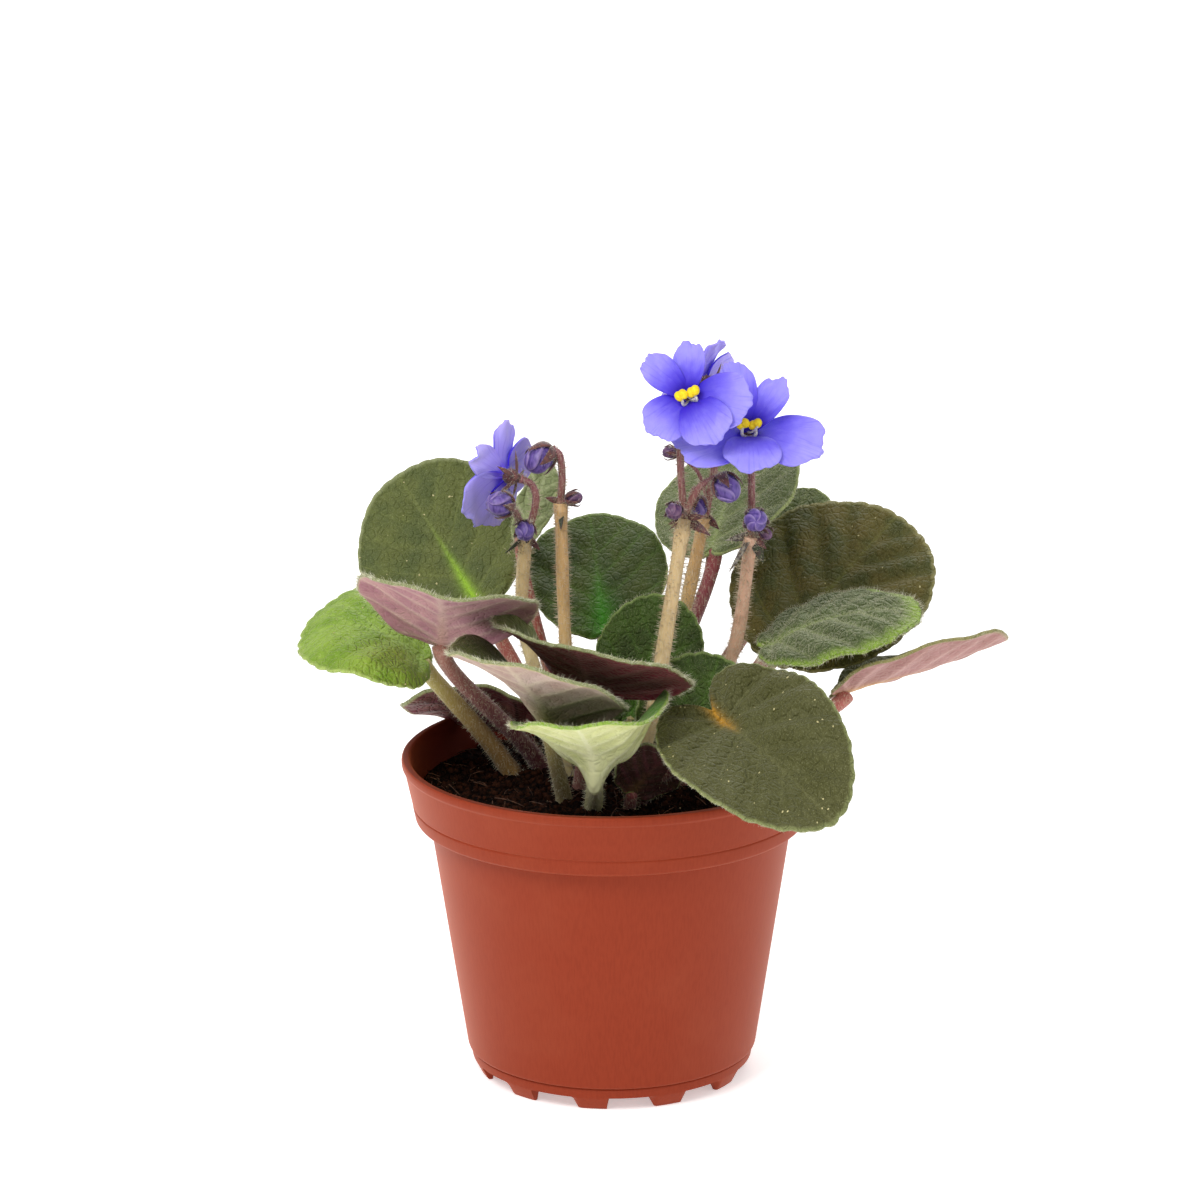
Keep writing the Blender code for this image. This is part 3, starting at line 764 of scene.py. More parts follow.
class Finish(Enum):
    """The other finishes, made once each."""

    # The pot is satin and even, the peat swallows light.
    POT = PolypropyleneFinish()
    PEAT = PeatFinish()
    PETAL = PetalFinish()
    # Painted light: the backs of the petals get a paler copy of the petal colours, which lifts the shade they
    # turn into; their deep throat is also smaller, as on the real backs.
    PETAL_BACK_LIGHTENED = PetalFinish("petal_back_violet_painted_light", "#c0b4ff", "#a898ff", "#6a50e8", 0.3)
    # Hairs catch the light: long ones look white, short ones only grey the green below them.
    HAIR = HairFinish()
    DOWN = HairFinish("trichomes_short", "#74784a", "#94966a")
    # Dry grains and fibres are matt and pale, moist crumbs nearly black.
    GRIT = PlainFinish("perlite_and_sand_grains", "#b9a684", "#7d6a50", 0.6, 0.8)
    FLECK = PlainFinish("dried_sap_flecks", "#d8cf98", "#b3a878", 0.5, 0.6)
    FIBRE = PlainFinish("peat_fibre", "#664430", "#2c1a12", 2.0, 0.7)
    CRUMB = PlainFinish("peat_crumbs_brown", "#311a10", "#0c0605", 2.5, 0.9, shine=0.04)
    # Pollen is matt and strongly coloured, filaments are fleshy and let light through.
    POLLEN = PlainFinish("anther_pollen_yellow", "#f7de22", "#efc812", 0.5, 0.7)
    FILAMENT = PlainFinish("filament_pale", "#dcd9c4", "#a8a0b4", 0.8, 0.5, 0.1, 0.6)
    # Sepals and bracts are thin, dark and downy; withered ones are dry and grey.
    SEPAL = PlainFinish("sepal_red_brown", "#6d3f38", "#4a2c30", 1.2, 0.55, 0.3)
    BRACT = PlainFinish("bract_dark_green", "#2c3a1c", "#3a2c22", 1.5, 0.55, 0.25)
    WITHERED = PlainFinish("bract_withered", "#8c877a", "#3a2c28", 1.2, 0.8, 0.3)
    # Folded petals are smooth, with a paler free edge.
    BUD = BudFinish("bud_violet", "#6b549c", "#47347a")
    BUD_TIGHT = BudFinish("bud_young_mauve", "#6e4a66", "#4a2e52", "#96768c")
    # Seen against white, the bristles of a stalk look tan.
    STALK_HAIR = HairFinish("trichomes_stalk", "#b49c7c", "#e0d4b8")


MADE: Dict[str, bpy.types.Material] = {}


def dress(piece: bpy.types.Object, *finishes: Enum) -> bpy.types.Object:
    """Give a piece its materials, made when they are first asked for.

    Args:
        piece: the piece.
        finishes: one finish for each of its material slots, in order.

    Returns:
        The same piece.
    """
    for finish in finishes:
        key = f"{type(finish).__name__}.{finish.name}"
        if key not in MADE:
            MADE[key] = finish.value.make()
        piece.data.materials.append(MADE[key])
    return piece


# ---------------------------------------------------------------- pot and soil


@dataclass(frozen=True)
class Pot:
    """The nursery pot, turned from one profile, with feet and drain holes."""

    wall: float = 1.3
    floor: float = 1.5
    band_height: float = 18.0
    band_foot: float = 56.2
    body_top: float = 52.0
    heel: Pair = (41.8, 8.0)
    foot_radius: float = 38.4
    foot_height: float = 4.0
    feet: int = 11
    first_foot: float = -107.6
    foot_slope: float = 0.1
    sectors_per_foot: int = 32
    drains: int = 6
    drain_circle: float = 24.0
    drain_radius: float = 4.0

    def profile(self) -> np.ndarray:
        """The wall's outline: radius and height, from under the floor round to the inside."""
        low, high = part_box("pot")
        rim, top = (high.x - low.x) / 2 / MM, (high.z - low.z) / MM
        step_height, inner = top - self.band_height, rim - self.wall
        over = self.foot_height + self.floor
        heel_radius, heel_height = self.heel
        line = step_height + 4.2
        line_radius = self.band_foot + (rim - self.band_foot) * 0.2
        return np.array((
            (0, self.foot_height), (self.foot_radius - self.wall, self.foot_height),
            (self.foot_radius - self.wall, 0), (self.foot_radius, 0),
            (heel_radius - 1.3, self.foot_height), (heel_radius - 0.9, heel_height - 1.5),
            (heel_radius - 1.25, heel_height - 1.1), (heel_radius - 0.25, heel_height - 0.7),
            (heel_radius, heel_height),
            (self.body_top, step_height - 0.9), (self.body_top + 0.6, step_height - 0.4),
            (self.band_foot - 0.5, step_height - 0.3), (self.band_foot, step_height + 0.3),
            (line_radius - 0.05, line - 0.4), (line_radius - 0.3, line), (line_radius + 0.05, line + 0.4),
            (rim - 0.75, top - 3.0), (rim - 0.1, top - 2.3), (rim, top - 1.2), (rim - 0.15, top - 0.35),
            (rim - 0.6, top), (inner - 0.7, top), (inner - 1.2, top - 0.5), (inner - 1.7, top - 2.6),
            (self.band_foot - self.wall, step_height + 1.6), (self.body_top - self.wall, step_height + 0.6),
            (heel_radius - self.wall, heel_height), (heel_radius - self.wall - 1.2, over), (0, over),
        ), float)

    def build(self) -> None:
        """Turn the wall with its feet, drill the drains and dress the pot."""
        outline = self.profile()
        # Each corner of the outline is eased by three points on a small curve.
        eased = [outline[0]]
        for before, corner, after in zip(outline, outline[1:], outline[2:]):
            reach = min(0.35, *(np.linalg.norm(side - corner) / 3 for side in (before, after)))
            start, end = (corner + unit(side - corner) * reach for side in (before, after))
            eased += [start, (start + end + 2 * corner) / 4, end]
        eased = np.array(eased + [outline[-1]])
        inside = np.array([i > len(eased) * 0.7 for i in range(len(eased))], float)
        first = math.radians(self.first_foot)

        def shape(across: np.ndarray, along: np.ndarray) -> np.ndarray:
            """The turned wall."""
            i = np.rint(along * (len(eased) - 1)).astype(int)
            turn = first + 2 * math.pi * across
            # Every second stretch of the ring under the floor comes down as a foot.
            share = (across * self.feet + 1e-4) % 1
            down = np.clip(share / self.foot_slope, 0, 1) * (share < 0.5)
            height = np.where(eased[i, 1] < self.foot_height,
                              self.foot_height + (eased[i, 1] - self.foot_height) * down, eased[i, 1])
            return np.stack((eased[i, 0] * np.cos(turn), eased[i, 0] * np.sin(turn), height), -1)

        pot = surface("pot_moulded", self.feet * self.sectors_per_foot, len(eased) - 1, shape, marks={
            "inside": lambda across, along: inside[np.rint(along * (len(eased) - 1)).astype(int)]})
        self.drill(pot)
        pot.data.set_sharp_from_angle(angle=math.radians(35))
        dress(pot, Finish.POT)
        hand_over(pot, "pot", "pot")

    def drill(self, pot: bpy.types.Object) -> None:
        """Cut the drain holes through the floor.

        Args:
            pot: the turned wall.
        """
        for hole in range(self.drains):
            turn = 2 * math.pi * (hole + 0.5) / self.drains
            middle = np.array((self.drain_circle * math.cos(turn), self.drain_circle * math.sin(turn),
                               self.foot_height + self.floor / 2)) * MM + AXIS
            bpy.ops.mesh.primitive_cylinder_add(vertices=32, radius=self.drain_radius * MM,
                                                depth=3 * self.floor * MM, location=middle)
            drill = bpy.context.object
            apply_modifier(pot, "BOOLEAN", operation="DIFFERENCE", solver="EXACT", object=drill)
            bpy.data.objects.remove(drill, do_unlink=True)


@dataclass(frozen=True)
class Soil:
    """The peat plug: a lumpy top, a side that follows the pot, crumbs, grit and fibres."""

    crumbs: int = 3600
    crumb_sizes: Pair = (0.35, 1.5)
    grits: int = 130
    grit_sizes: Pair = (0.15, 0.45)
    fibres: int = 320
    fibre_lengths: Pair = (2.5, 9.0)
    # Each size of lump: its width, its height and where its noise starts.
    lumps: Tuple[Point, ...] = ((9.0, 1.5, 0.0), (3.4, 1.3, 4.0), (1.4, 0.8, 9.0))
    seed: int = 11

    def build(self) -> None:
        """Build the plug and what lies on it."""
        low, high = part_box("soil")
        edge, top = (high.x - low.x) / 2 / MM, (high.z - AXIS[2]) / MM
        bottom = (low.z - AXIS[2]) / MM
        side = np.array(((0, top), (edge - 0.6, top), (edge - 0.1, top - 1.2), (50.1, 77.0), (40.2, 8.4),
                         (38.8, bottom), (0, bottom)))
        shares = np.array((0, 0.72, 0.75, 0.8, 0.92, 0.95, 1.0))

        def lumps(points: np.ndarray, radius: np.ndarray) -> np.ndarray:
            """How far the top stands above its level."""
            flat = points.copy()
            flat[:, 2] = 0
            bumps = sum(high * rough(flat, wide, start) for wide, high, start in self.lumps)
            return bumps * (1 - step(radius, edge - 2.5, edge)) + 1.4 * step(radius, 34, 10)

        def shape(across: np.ndarray, along: np.ndarray) -> np.ndarray:
            """The plug's skin."""
            radius, height = (np.interp(along, shares, side[:, k]) for k in (0, 1))
            turn = 2 * math.pi * across
            points = np.stack((radius * np.cos(turn), radius * np.sin(turn), height), -1)
            on_top = along < shares[1]
            points[on_top, 2] += lumps(points[on_top], radius[on_top])
            return points

        plug = dress(surface("soil_peat", 200, 90, shape), Finish.PEAT)
        hand_over(join("soil_peat", [plug, *self.litter(edge, top, lumps)]), "soil", "soil")

    def litter(self, edge: float, top: float, lumps: Callable) -> List[bpy.types.Object]:
        """Crumbs, grit and fibres scattered on the top.

        Args:
            edge: the top's radius in millimetres.
            top: its level.
            lumps: gives its height over that level.

        Returns:
            The dressed pieces.
        """
        random = np.random.default_rng(self.seed)

        def spread(count: int, bury: float) -> np.ndarray:
            """Places on the top, in millimetres."""
            radius = (edge - 1.5) * np.sqrt(random.uniform(0, 1, count))
            turn = random.uniform(0, 2 * math.pi, count)
            points = np.stack((radius * np.cos(turn), radius * np.sin(turn), np.full(count, top)), -1)
            points[:, 2] += lumps(points, radius) - bury
            return points

        def turned(count: int, sizes: np.ndarray) -> np.ndarray:
            """Random frames of the given sizes in millimetres."""
            first = unit(random.normal(0, 1, (count, 3)))
            second = across_of(first, random.normal(0, 1, (count, 3)))
            return np.stack((first, second, np.cross(first, second)), -1) * sizes[:, None, :] * MM

        pieces = []
        for name, count, sizes, finish in (("crumbs", self.crumbs, self.crumb_sizes, Finish.CRUMB),
                                           ("grit", self.grits, self.grit_sizes, Finish.GRIT)):
            bpy.ops.mesh.primitive_ico_sphere_add(subdivisions=1, radius=1.0)
            pattern = bpy.context.object
            size = random.uniform(*sizes, (count, 1)) * random.uniform(0.6, 1.0, (count, 3))
            pieces.append(dress(copies(name, pattern, spread(count, 0.1) * MM + AXIS,
                                       turned(count, size)), finish))
        # The pattern fibre is one unit long and a little curled; it is made about the origin.
        t = np.linspace(-0.5, 0.5, 6)
        route = np.stack((0.12 * np.sin(3.1 * t), 0.1 * np.cos(2.3 * t), t), -1)
        pattern = tube("fibre", (route - AXIS) / MM, np.full(6, 0.018 / MM), 4)
        ways = unit(random.normal(0, 1, (self.fibres, 3)) * (1, 1, 0.35))
        sides = across_of(ways, random.normal(0, 1, (self.fibres, 3)))
        lengths = random.uniform(*self.fibre_lengths, (self.fibres, 1)) * MM
        frames = np.stack((sides * lengths, np.cross(ways, sides) * lengths, ways * lengths), -1)
        places = spread(self.fibres, -0.3) * MM + AXIS
        pieces.append(dress(copies("fibres", pattern, places, frames), Finish.FIBRE))
        return pieces


# ---------------------------------------------------------------- leaves


@dataclass(frozen=True)
class Leaf:
    """One leaf, from the foot of its petiole to the tip of its blade.

    A blade is an ellipse along the midrib with a notch where the petiole joins. The first of a
    pair of cups or lifts belongs to the side that lies left of the midrib, looking from joint to
    tip with the upper face up, and the second to the right side. Lengths are in millimetres.

    Attributes:
        root, joint, tip: where the petiole leaves the soil, where it joins, and the blade's tip.
        face: roughly the way that the upper face looks.
        width: the blade's greatest width.
        cups: how far the two sides rise at the margin.
        bow: how far the midrib arches.
        girth: the petiole's radius at its foot and at its head.
        lifts: how far the basal lobes fold up, from a share "fold" of the half width outwards.
        curl: how far the margin turns down.
        funnel, mouth: how far the blade sinks at the joint, and within what radius.
        wave, quilt: the ripple of the margin and the height of the skin between the veins.
        fur, fringe: the hairs of the upper face and of the margin.
        teeth: how deep the scallops of the margin are.
        heart_width, heart_length: the coloured foot of the midrib; its length in blade lengths.
        lobe: how far the basal lobes reach behind the joint, in blade lengths.
        flare: how much the petiole widens below the blade.
        flecks: how many grains lie on the upper face.
    """

    name: str
    root: Point
    joint: Point
    tip: Point
    face: Point
    width: float
    cups: Pair = (1.0, 1.0)
    bow: float = 0.0
    girth: Pair = (2.4, 1.9)
    upper: Upper = Upper.OLIVE
    under: Under = Under.GREEN
    stem: Stem = Stem.GREEN
    slot: str = "leaf_olive"
    lifts: Pair = (0.0, 0.0)
    curl: float = 1.0
    funnel: float = 1.5
    wave: float = 0.5
    quilt: float = 0.8
    fur: Hairs = Hairs(90, 0.6, 0.045)
    fringe: Hairs = Hairs(0, 1.1, 0.06, 0.3)
    teeth: float = 0.35
    heart_width: float = 1.5
    heart_length: float = 0.7
    lobe: float = 0.12
    flare: float = 1.3
    mouth: float = 4.0
    fold: float = 0.35
    flecks: int = 0

    NOTCH = (0.72, 0.38)
    CUP_POWER = 1.7
    THICKNESS = 1.0
    TOOTH_PITCH = 4.6
    WAVES = 7
    VEIN_SLOPE = 2.6
    THICK_FUR = 200
    DEEP_FUNNEL = 4.0
    FRINGE_PER_MM = 5
    DOWN_ON_PETIOLE = Hairs(90, 1.3, 0.1, 0.25)
    COLUMNS = 168
    ROWS = 36
    # Side veins: where each leaves the midrib and its turn from it, in degrees.
    VEINS = ((0.0, 145), (0.0, 104), (0.03, 70), (0.2, 57), (0.4, 50), (0.6, 45), (0.8, 40))

    def frame(self) -> Tuple[np.ndarray, float, np.ndarray, np.ndarray, np.ndarray]:
        """The blade's joint, length, and its directions along, to its side and off its upper face."""
        joint = np.array(self.joint, float)
        along = np.array(self.tip, float) - joint
        length = float(np.linalg.norm(along))
        along = along / length
        normal = across_of(along, np.array(self.face, float))
        return joint, length, along, np.cross(along, normal), normal

    def margin(self, turn: np.ndarray, length: float) -> np.ndarray:
        """How far the margin is from the joint.

        Args:
            turn: angles from the direction of the tip.
            length: the blade's length.

        Returns:
            The distances, in blade lengths.
        """
        half = self.width / 2 / length
        centre, half_length = (1 - self.lobe) / 2, (1 + self.lobe) / 2
        a = (np.cos(turn) / half_length) ** 2 + (np.sin(turn) / half) ** 2
        b = -2 * centre * np.cos(turn) / half_length ** 2
        c = (centre / half_length) ** 2 - 1
        ellipse = (np.sqrt(b * b - 4 * a * c) - b) / (2 * a)
        depth, spread = self.NOTCH
        return ellipse * (1 - depth * np.exp(-((math.pi - abs(turn)) / spread) ** 2))

    def sink(self, radius: np.ndarray) -> np.ndarray:
        """How far the blade sinks towards the petiole, like the mouth of a trumpet."""
        return self.funnel / (1 + (radius / self.mouth) ** 1.5)

    def vein_gap(self, x: np.ndarray, y: np.ndarray, length: float) -> np.ndarray:
        """How far places on the flat blade are from the nearest vein.

        Args:
            x: how far along the midrib they are, in millimetres.
            y: how far beside it they are.
            length: the blade's length.

        Returns:
            The distances, in millimetres; they widen along each vein, which thins out.
        """
        gap = np.hypot(y, np.minimum(x, 0)) * 0.75
        reach = np.linspace(0, 1, 9)
        for start, turn in self.VEINS:
            turn = math.radians(turn)
            far = 0.75 * self.width
            # A side vein leaves at its turn and bends towards the tip.
            vx = start * length + far * (reach * math.cos(turn) + 0.3 * math.sin(turn) * reach ** 2)
            vy = far * reach * math.sin(turn)
            for i in range(len(reach) - 1):
                dx, dy = vx[i + 1] - vx[i], vy[i + 1] - vy[i]
                t = np.clip(((x - vx[i]) * dx + (abs(y) - vy[i]) * dy) / (dx * dx + dy * dy), 0, 1)
                near = np.hypot(x - vx[i] - t * dx, abs(y) - vy[i] - t * dy)
                gap = np.minimum(gap, near * (1 + 0.5 * (i + t) / len(reach)))
        return gap

    def build(self, seed: int) -> None:
        """Build the blade, the petiole and the hairs as one grown piece.

        Args:
            seed: what the leaf's random draws start from.
        """
        joint, length, along, side, normal = self.frame()
        fine = np.linspace(-math.pi, math.pi, 1441)
        reach = self.margin(fine, length) * length
        edge = np.stack((reach * np.cos(fine), reach * np.sin(fine)), -1)
        walked = np.concatenate(((0,), np.cumsum(np.linalg.norm(np.diff(edge, axis=0), axis=1))))
        teeth = round(walked[-1] / self.TOOTH_PITCH)
        half = self.width / 2

        def spot(across: np.ndarray, share: np.ndarray) -> Tuple[np.ndarray, np.ndarray]:
            """Places on the flat blade, in millimetres along and to the side of the midrib."""
            turn = np.interp(across * walked[-1], walked, fine)
            out = np.interp(turn, fine, reach)
            scallop = np.abs(np.sin(math.pi * teeth * across)) ** 0.6 - 0.6
            quiet = step(np.abs(turn), math.pi, math.pi - 0.5)
            out = out + self.teeth * scallop * quiet * step(share, 0.8, 1.0)
            return share * out * np.cos(turn), share * out * np.sin(turn)

        def shape(across: np.ndarray, share: np.ndarray) -> np.ndarray:
            """The upper face, in millimetres."""
            x, y = spot(across, share)
            cup = np.where(y < 0, *self.cups)
            s = x / length
            height = cup * np.abs(y / half) ** self.CUP_POWER + 4 * self.bow * np.maximum(s, 0) * (1 - s)
            lift = np.where(y < 0, *self.lifts)
            height = height + lift * step(np.abs(y / half), self.fold, 1.0) * step(s, 0.8, 0.1)
            height = height - self.sink(np.hypot(x, y))
            height = height - self.curl * step(share, 0.7, 1.0) ** 2
            height = height + self.wave * np.sin(across * 2 * math.pi * self.WAVES + seed) * share ** 3
            gap = self.vein_gap(x, y, length)
            pillow = 1 - np.exp(-(gap / self.VEIN_SLOPE) ** 1.5)
            height = height + self.quilt * (pillow - 0.6) * step(share, 1.08, 0.8)
            return joint + x[:, None] * along + y[:, None] * side + height[:, None] * normal

        def flat(across: np.ndarray, share: np.ndarray) -> np.ndarray:
            """The flat map that the skin's pattern follows, in millimetres."""
            x, y = spot(across, share)
            return np.stack((x + 80 * seed, y, np.zeros(len(x))), -1)

        def vein(across: np.ndarray, share: np.ndarray) -> np.ndarray:
            """How far each point is from a vein, in millimetres."""
            x, y = spot(across, share)
            return self.vein_gap(x, y, length) * (1 + 0.8 * share)

        def heart(across: np.ndarray, share: np.ndarray) -> np.ndarray:
            """How near each point is to the foot of the midrib."""
            x, y = spot(across, share)
            spread = self.heart_width * (0.35 + 0.65 * step(x, 0.6 * length, 0))
            return np.exp(-np.abs(y / spread) ** 1.3) * step(x, self.heart_length * length, -0.02 * length)

        blade = surface(self.name + "_blade", self.COLUMNS, self.ROWS, shape, closed=False, marks={
            "flat": flat, "vein": vein, "heart": heart, "edge": lambda across, share: share})
        tidy(blade)
        face_towards(blade, normal)
        dress(blade, self.upper, self.under)
        rim = shape(np.linspace(0, 1, 2001), np.ones(2001))
        apply_modifier(blade, "SOLIDIFY", thickness=self.THICKNESS * MM, offset=-1.0, material_offset=1,
                       material_offset_rim=0)
        pieces = [blade, self.petiole(joint, along, normal)]
        pieces.append(dress(self.fur.grow_on(blade, seed, keep=0),
                            Finish.HAIR if self.fur.density > self.THICK_FUR else Finish.DOWN))
        pieces.append(self.edge_hairs(rim, joint, normal, seed))
        if self.flecks:
            pieces.append(self.fleck(blade, seed))
        pieces.append(dress(self.DOWN_ON_PETIOLE.grow_on(pieces[1], seed + 50), Finish.HAIR))
        hand_over(join(self.name + "_grown", pieces), self.slot, self.name)

    def petiole(self, joint: np.ndarray, along: np.ndarray, normal: np.ndarray) -> bpy.types.Object:
        """The stalk of the leaf, which widens into the underside of the blade.

        Args:
            joint: where it joins, in millimetres.
            along: the midrib's direction.
            normal: the direction off the upper face.

        Returns:
            The dressed petiole.
        """
        # The end stops inside the blade where the blade is as wide as the petiole.
        deep = max(min(self.funnel, 1.5), float(self.sink(np.array(self.girth[1]))))
        end = joint - (self.THICKNESS * 0.5 + deep + 0.6 * self.quilt) * normal
        root = np.array(self.root, float) - (0, 0, 1.5)
        reach = np.linalg.norm(end - root)
        leave = (end - root) / reach + np.array((0, 0, 0.25))
        arrive = 0.8 * normal + 0.6 * along
        t = 1 - (1 - np.linspace(0, 1, 32)) ** 1.6
        route = bezier((root, root + 0.3 * reach * leave, end - 0.15 * reach * arrive, end), t)
        radii = self.girth[0] + (self.girth[1] - self.girth[0]) * t
        radii = radii * (1 + (self.flare - 1) * step(t, 0.75, 1.0) + 0.15 * step(t, 0.12, 0.0))
        if self.funnel < self.DEEP_FUNNEL:
            radii = radii * (1 - 0.8 * step(t, 1 - 2.4 / reach, 1.0))
        return dress(tube(self.name + "_petiole", route, radii, 16), self.stem)

    def fleck(self, blade: bpy.types.Object, seed: int) -> bpy.types.Object:
        """Grains of grit and dried sap that lie on the upper face.

        Args:
            blade: the blade, whose first material is that of the upper face.
            seed: what its random draws start from.

        Returns:
            The dressed grains.
        """
        random = np.random.default_rng(seed + 200)
        corners, normals = triangles_of(blade, 0)
        areas = np.linalg.norm(normals, axis=1)
        chosen = random.choice(len(areas), self.flecks, p=areas / areas.sum())
        up = unit(normals[chosen])
        side = across_of(up, random.normal(0, 1, (self.flecks, 3)))
        size = random.uniform(0.12, 0.5, (self.flecks, 1)) * MM
        frames = np.stack((side * size, np.cross(up, side) * size * 0.6, up * size * 0.35), -1)
        bpy.ops.object.select_all(action="DESELECT")
        bpy.ops.mesh.primitive_ico_sphere_add(subdivisions=1, radius=1.0)
        grains = copies(self.name + "_flecks", bpy.context.object, corners[chosen].mean(axis=1), frames)
        return dress(grains, Finish.FLECK)

    def edge_hairs(self, rim: np.ndarray, joint: np.ndarray, normal: np.ndarray,
                   seed: int) -> bpy.types.Object:
        """The fringe of hairs along the margin.

        Args:
            rim: points along the margin, in millimetres.
            joint: where the petiole joins.
            normal: the direction off the upper face.
            seed: what its random draws start from.

        Returns:
            The dressed fringe.
        """
        random = np.random.default_rng(seed + 100)
        walked = np.concatenate(((0,), np.cumsum(np.linalg.norm(np.diff(rim, axis=0), axis=1))))
        at = random.uniform(0, walked[-1], int(walked[-1] * self.FRINGE_PER_MM))
        roots = np.stack([np.interp(at, walked, rim[:, k]) for k in range(3)], -1)
        middle = joint + 0.44 * (np.array(self.tip) - joint)  # a blade's widest place
        outward = across_of(np.broadcast_to(normal, roots.shape), unit(roots - middle))
        roots = roots - normal * random.uniform(0.1, self.THICKNESS, (len(at), 1))
        ways = unit(outward + normal * random.uniform(-0.5, 0.9, (len(at), 1)))
        grown = self.fringe.grow_at(self.name + "_fringe", roots * MM + AXIS, ways, seed)
        return dress(grown, Finish.HAIR)


FURRY = Hairs(210, 1.2, 0.045, 0.3)
LONG_FRINGE = Hairs(0, 2.0, 0.1, 0.3)

LEAVES = (
    Leaf("leaf_back_left", (-13, 20, 84), (-40, 34, 131), (-63, 63, 161), (-0.1, -0.95, 0.25), 52, bow=-3,
         stem=Stem.SCARLET, flecks=30),
    Leaf("leaf_far_left", (-28, 14, 84), (-54, -4, 125), (-88, -4, 131), (-0.1, -0.3, 0.95), 44, (1, 0.5), 7,
         (2.8, 2.2), Upper.LIME, Under.CREAM, Stem.YELLOW, "leaf_light", curl=3.0, teeth=0.8, flecks=8),
    Leaf("leaf_left_pink", (-19, 17, 84), (-47, -10, 132), (-47, -51, 157), (0.25, 0.5, 0.83), 50, (9, 3), 2,
         (2.6, 2.1), Upper.OLIVE, Under.PINK, Stem.PURPLE, "leaf_pink_under", fringe=LONG_FRINGE),
    Leaf("leaf_back_middle", (-3, 19, 84), (-2, 26, 126), (-6, 62, 149), (0, -0.85, 0.5), 41, (2, 3),
         upper=Upper.GREEN, heart_width=3.5, heart_length=0.6),
    Leaf("leaf_centre_purple", (-9, -4, 84), (-4, -16, 119), (-9, -57, 143), (0.25, 0.53, 0.8), 58, (5, 6),
         -1, upper=Upper.OLIVE, under=Under.PURPLE, stem=Stem.BLUSH, slot="leaf_purple_under", lifts=(0, 15),
         teeth=0.8, fringe=LONG_FRINGE),
    Leaf("leaf_front_pink", (-13, -13, 84), (-15, -27, 117), (-28, -66, 142), (0.25, 0.45, 0.85), 51, (2, 4),
         -1, upper=Upper.OLIVE, under=Under.BLUSH, stem=Stem.GREEN, slot="leaf_pink_under", lifts=(1, 13),
         funnel=9, flare=1.3, mouth=4.5, fold=0.15, heart_width=7.0, heart_length=0.55, fringe=LONG_FRINGE),
    Leaf("leaf_front_small", (-5, -20, 84), (-4, -33, 107), (-9, -68, 125), (0, 0.1, 1), 43, (6, 3), -1,
         (2.7, 2.2), Upper.YOUNG, Under.CREAM, Stem.PALE, "leaf_light", lifts=(13, 4), funnel=13,
         flare=1.25, mouth=3.6, fringe=LONG_FRINGE),
    Leaf("leaf_low_left", (-21, 23, 84), (-26, 25, 96), (-59, 14, 107), (0, 0.55, 0.83), 36, (1, 2), 2,
         under=Under.WINE, stem=Stem.WINE, slot="leaf_purple_under"),
    Leaf("leaf_front_right", (6, -16, 84), (30.5, -43, 118), (60, -83, 101), (-0.07, -0.78, 0.63), 46, (4, 8),
         5, upper=Upper.SILVER, stem=Stem.WINE, quilt=2.6, lobe=0.34, teeth=0.7, heart_width=1.2,
         heart_length=0.22, flecks=46),
    Leaf("leaf_right_inner", (13, -4, 84), (20, -8, 93), (31, -4, 124), (0.1, -0.9, 0.4), 35, (2, 1), 1,
         upper=Upper.DEEP, teeth=0.7),
    Leaf("leaf_middle_small", (4, 4, 84), (6, 4, 105), (17, 13, 137), (-0.05, -0.93, 0.35), 31,
         upper=Upper.DEEP, teeth=0.7),
    Leaf("leaf_back_right", (17, 15, 84), (49, 19, 122), (84, 49, 152), (-0.4, -0.8, 0.45), 59, (1, 3),
         upper=Upper.BROWN, quilt=2.3, teeth=0.5, flecks=16),
    Leaf("leaf_right_hairy", (16, 5, 84), (46, 6, 127), (88, 4, 137), (-0.1, -0.2, 0.97), 41, (-3, -1), 3,
         upper=Upper.FELT, under=Under.CREAM, stem=Stem.BLUSH, slot="leaf_grey", curl=2.0, quilt=1.9,
         fur=FURRY, fringe=LONG_FRINGE),
    Leaf("leaf_far_right", (20, -2, 84), (67, 2, 114), (113, 10, 127), (-0.45, 0.42, 0.8), 38, (4, 3), -2,
         upper=Upper.BROWN, under=Under.ROSE, stem=Stem.SCARLET, slot="leaf_pink_under", lifts=(9, 0)),
    Leaf("leaf_back_hairy", (7, 24, 84), (29, 34, 148), (40, 70, 171), (-0.5, -0.78, 0.35), 46, (2, 1), -1,
         upper=Upper.GREY, under=Under.GREEN, stem=Stem.WINE, slot="leaf_grey", fur=FURRY),
    Leaf("leaf_back_small", (16, 26, 84), (50, 54, 137), (59, 73, 154), (-0.15, -0.55, 0.82), 26,
         upper=Upper.GREY, stem=Stem.SCARLET, fur=FURRY),
    Leaf("leaf_bud_back", (-12, 29, 84), (-25, 34, 149), (-17, 42, 169), (0.3, 0.5, 0.5), 11,
         girth=(1.8, 1.5), upper=Upper.GREY, under=Under.GREEN, stem=Stem.SCARLET, quilt=0.2, funnel=0.5,
         fur=FURRY),
    # Its underside takes the darker purple copy, which is painted shade.
    Leaf("leaf_low_front", (5, -22, 84), (6, -24, 92), (17, -29, 105), (0.1, 0.8, 0.6), 20,
         girth=(1.9, 1.6), under=Under.PURPLE_SHADED, stem=Stem.WINE, slot="leaf_purple_under", quilt=0.4),
)


# ---------------------------------------------------------------- stalks, flowers and buds


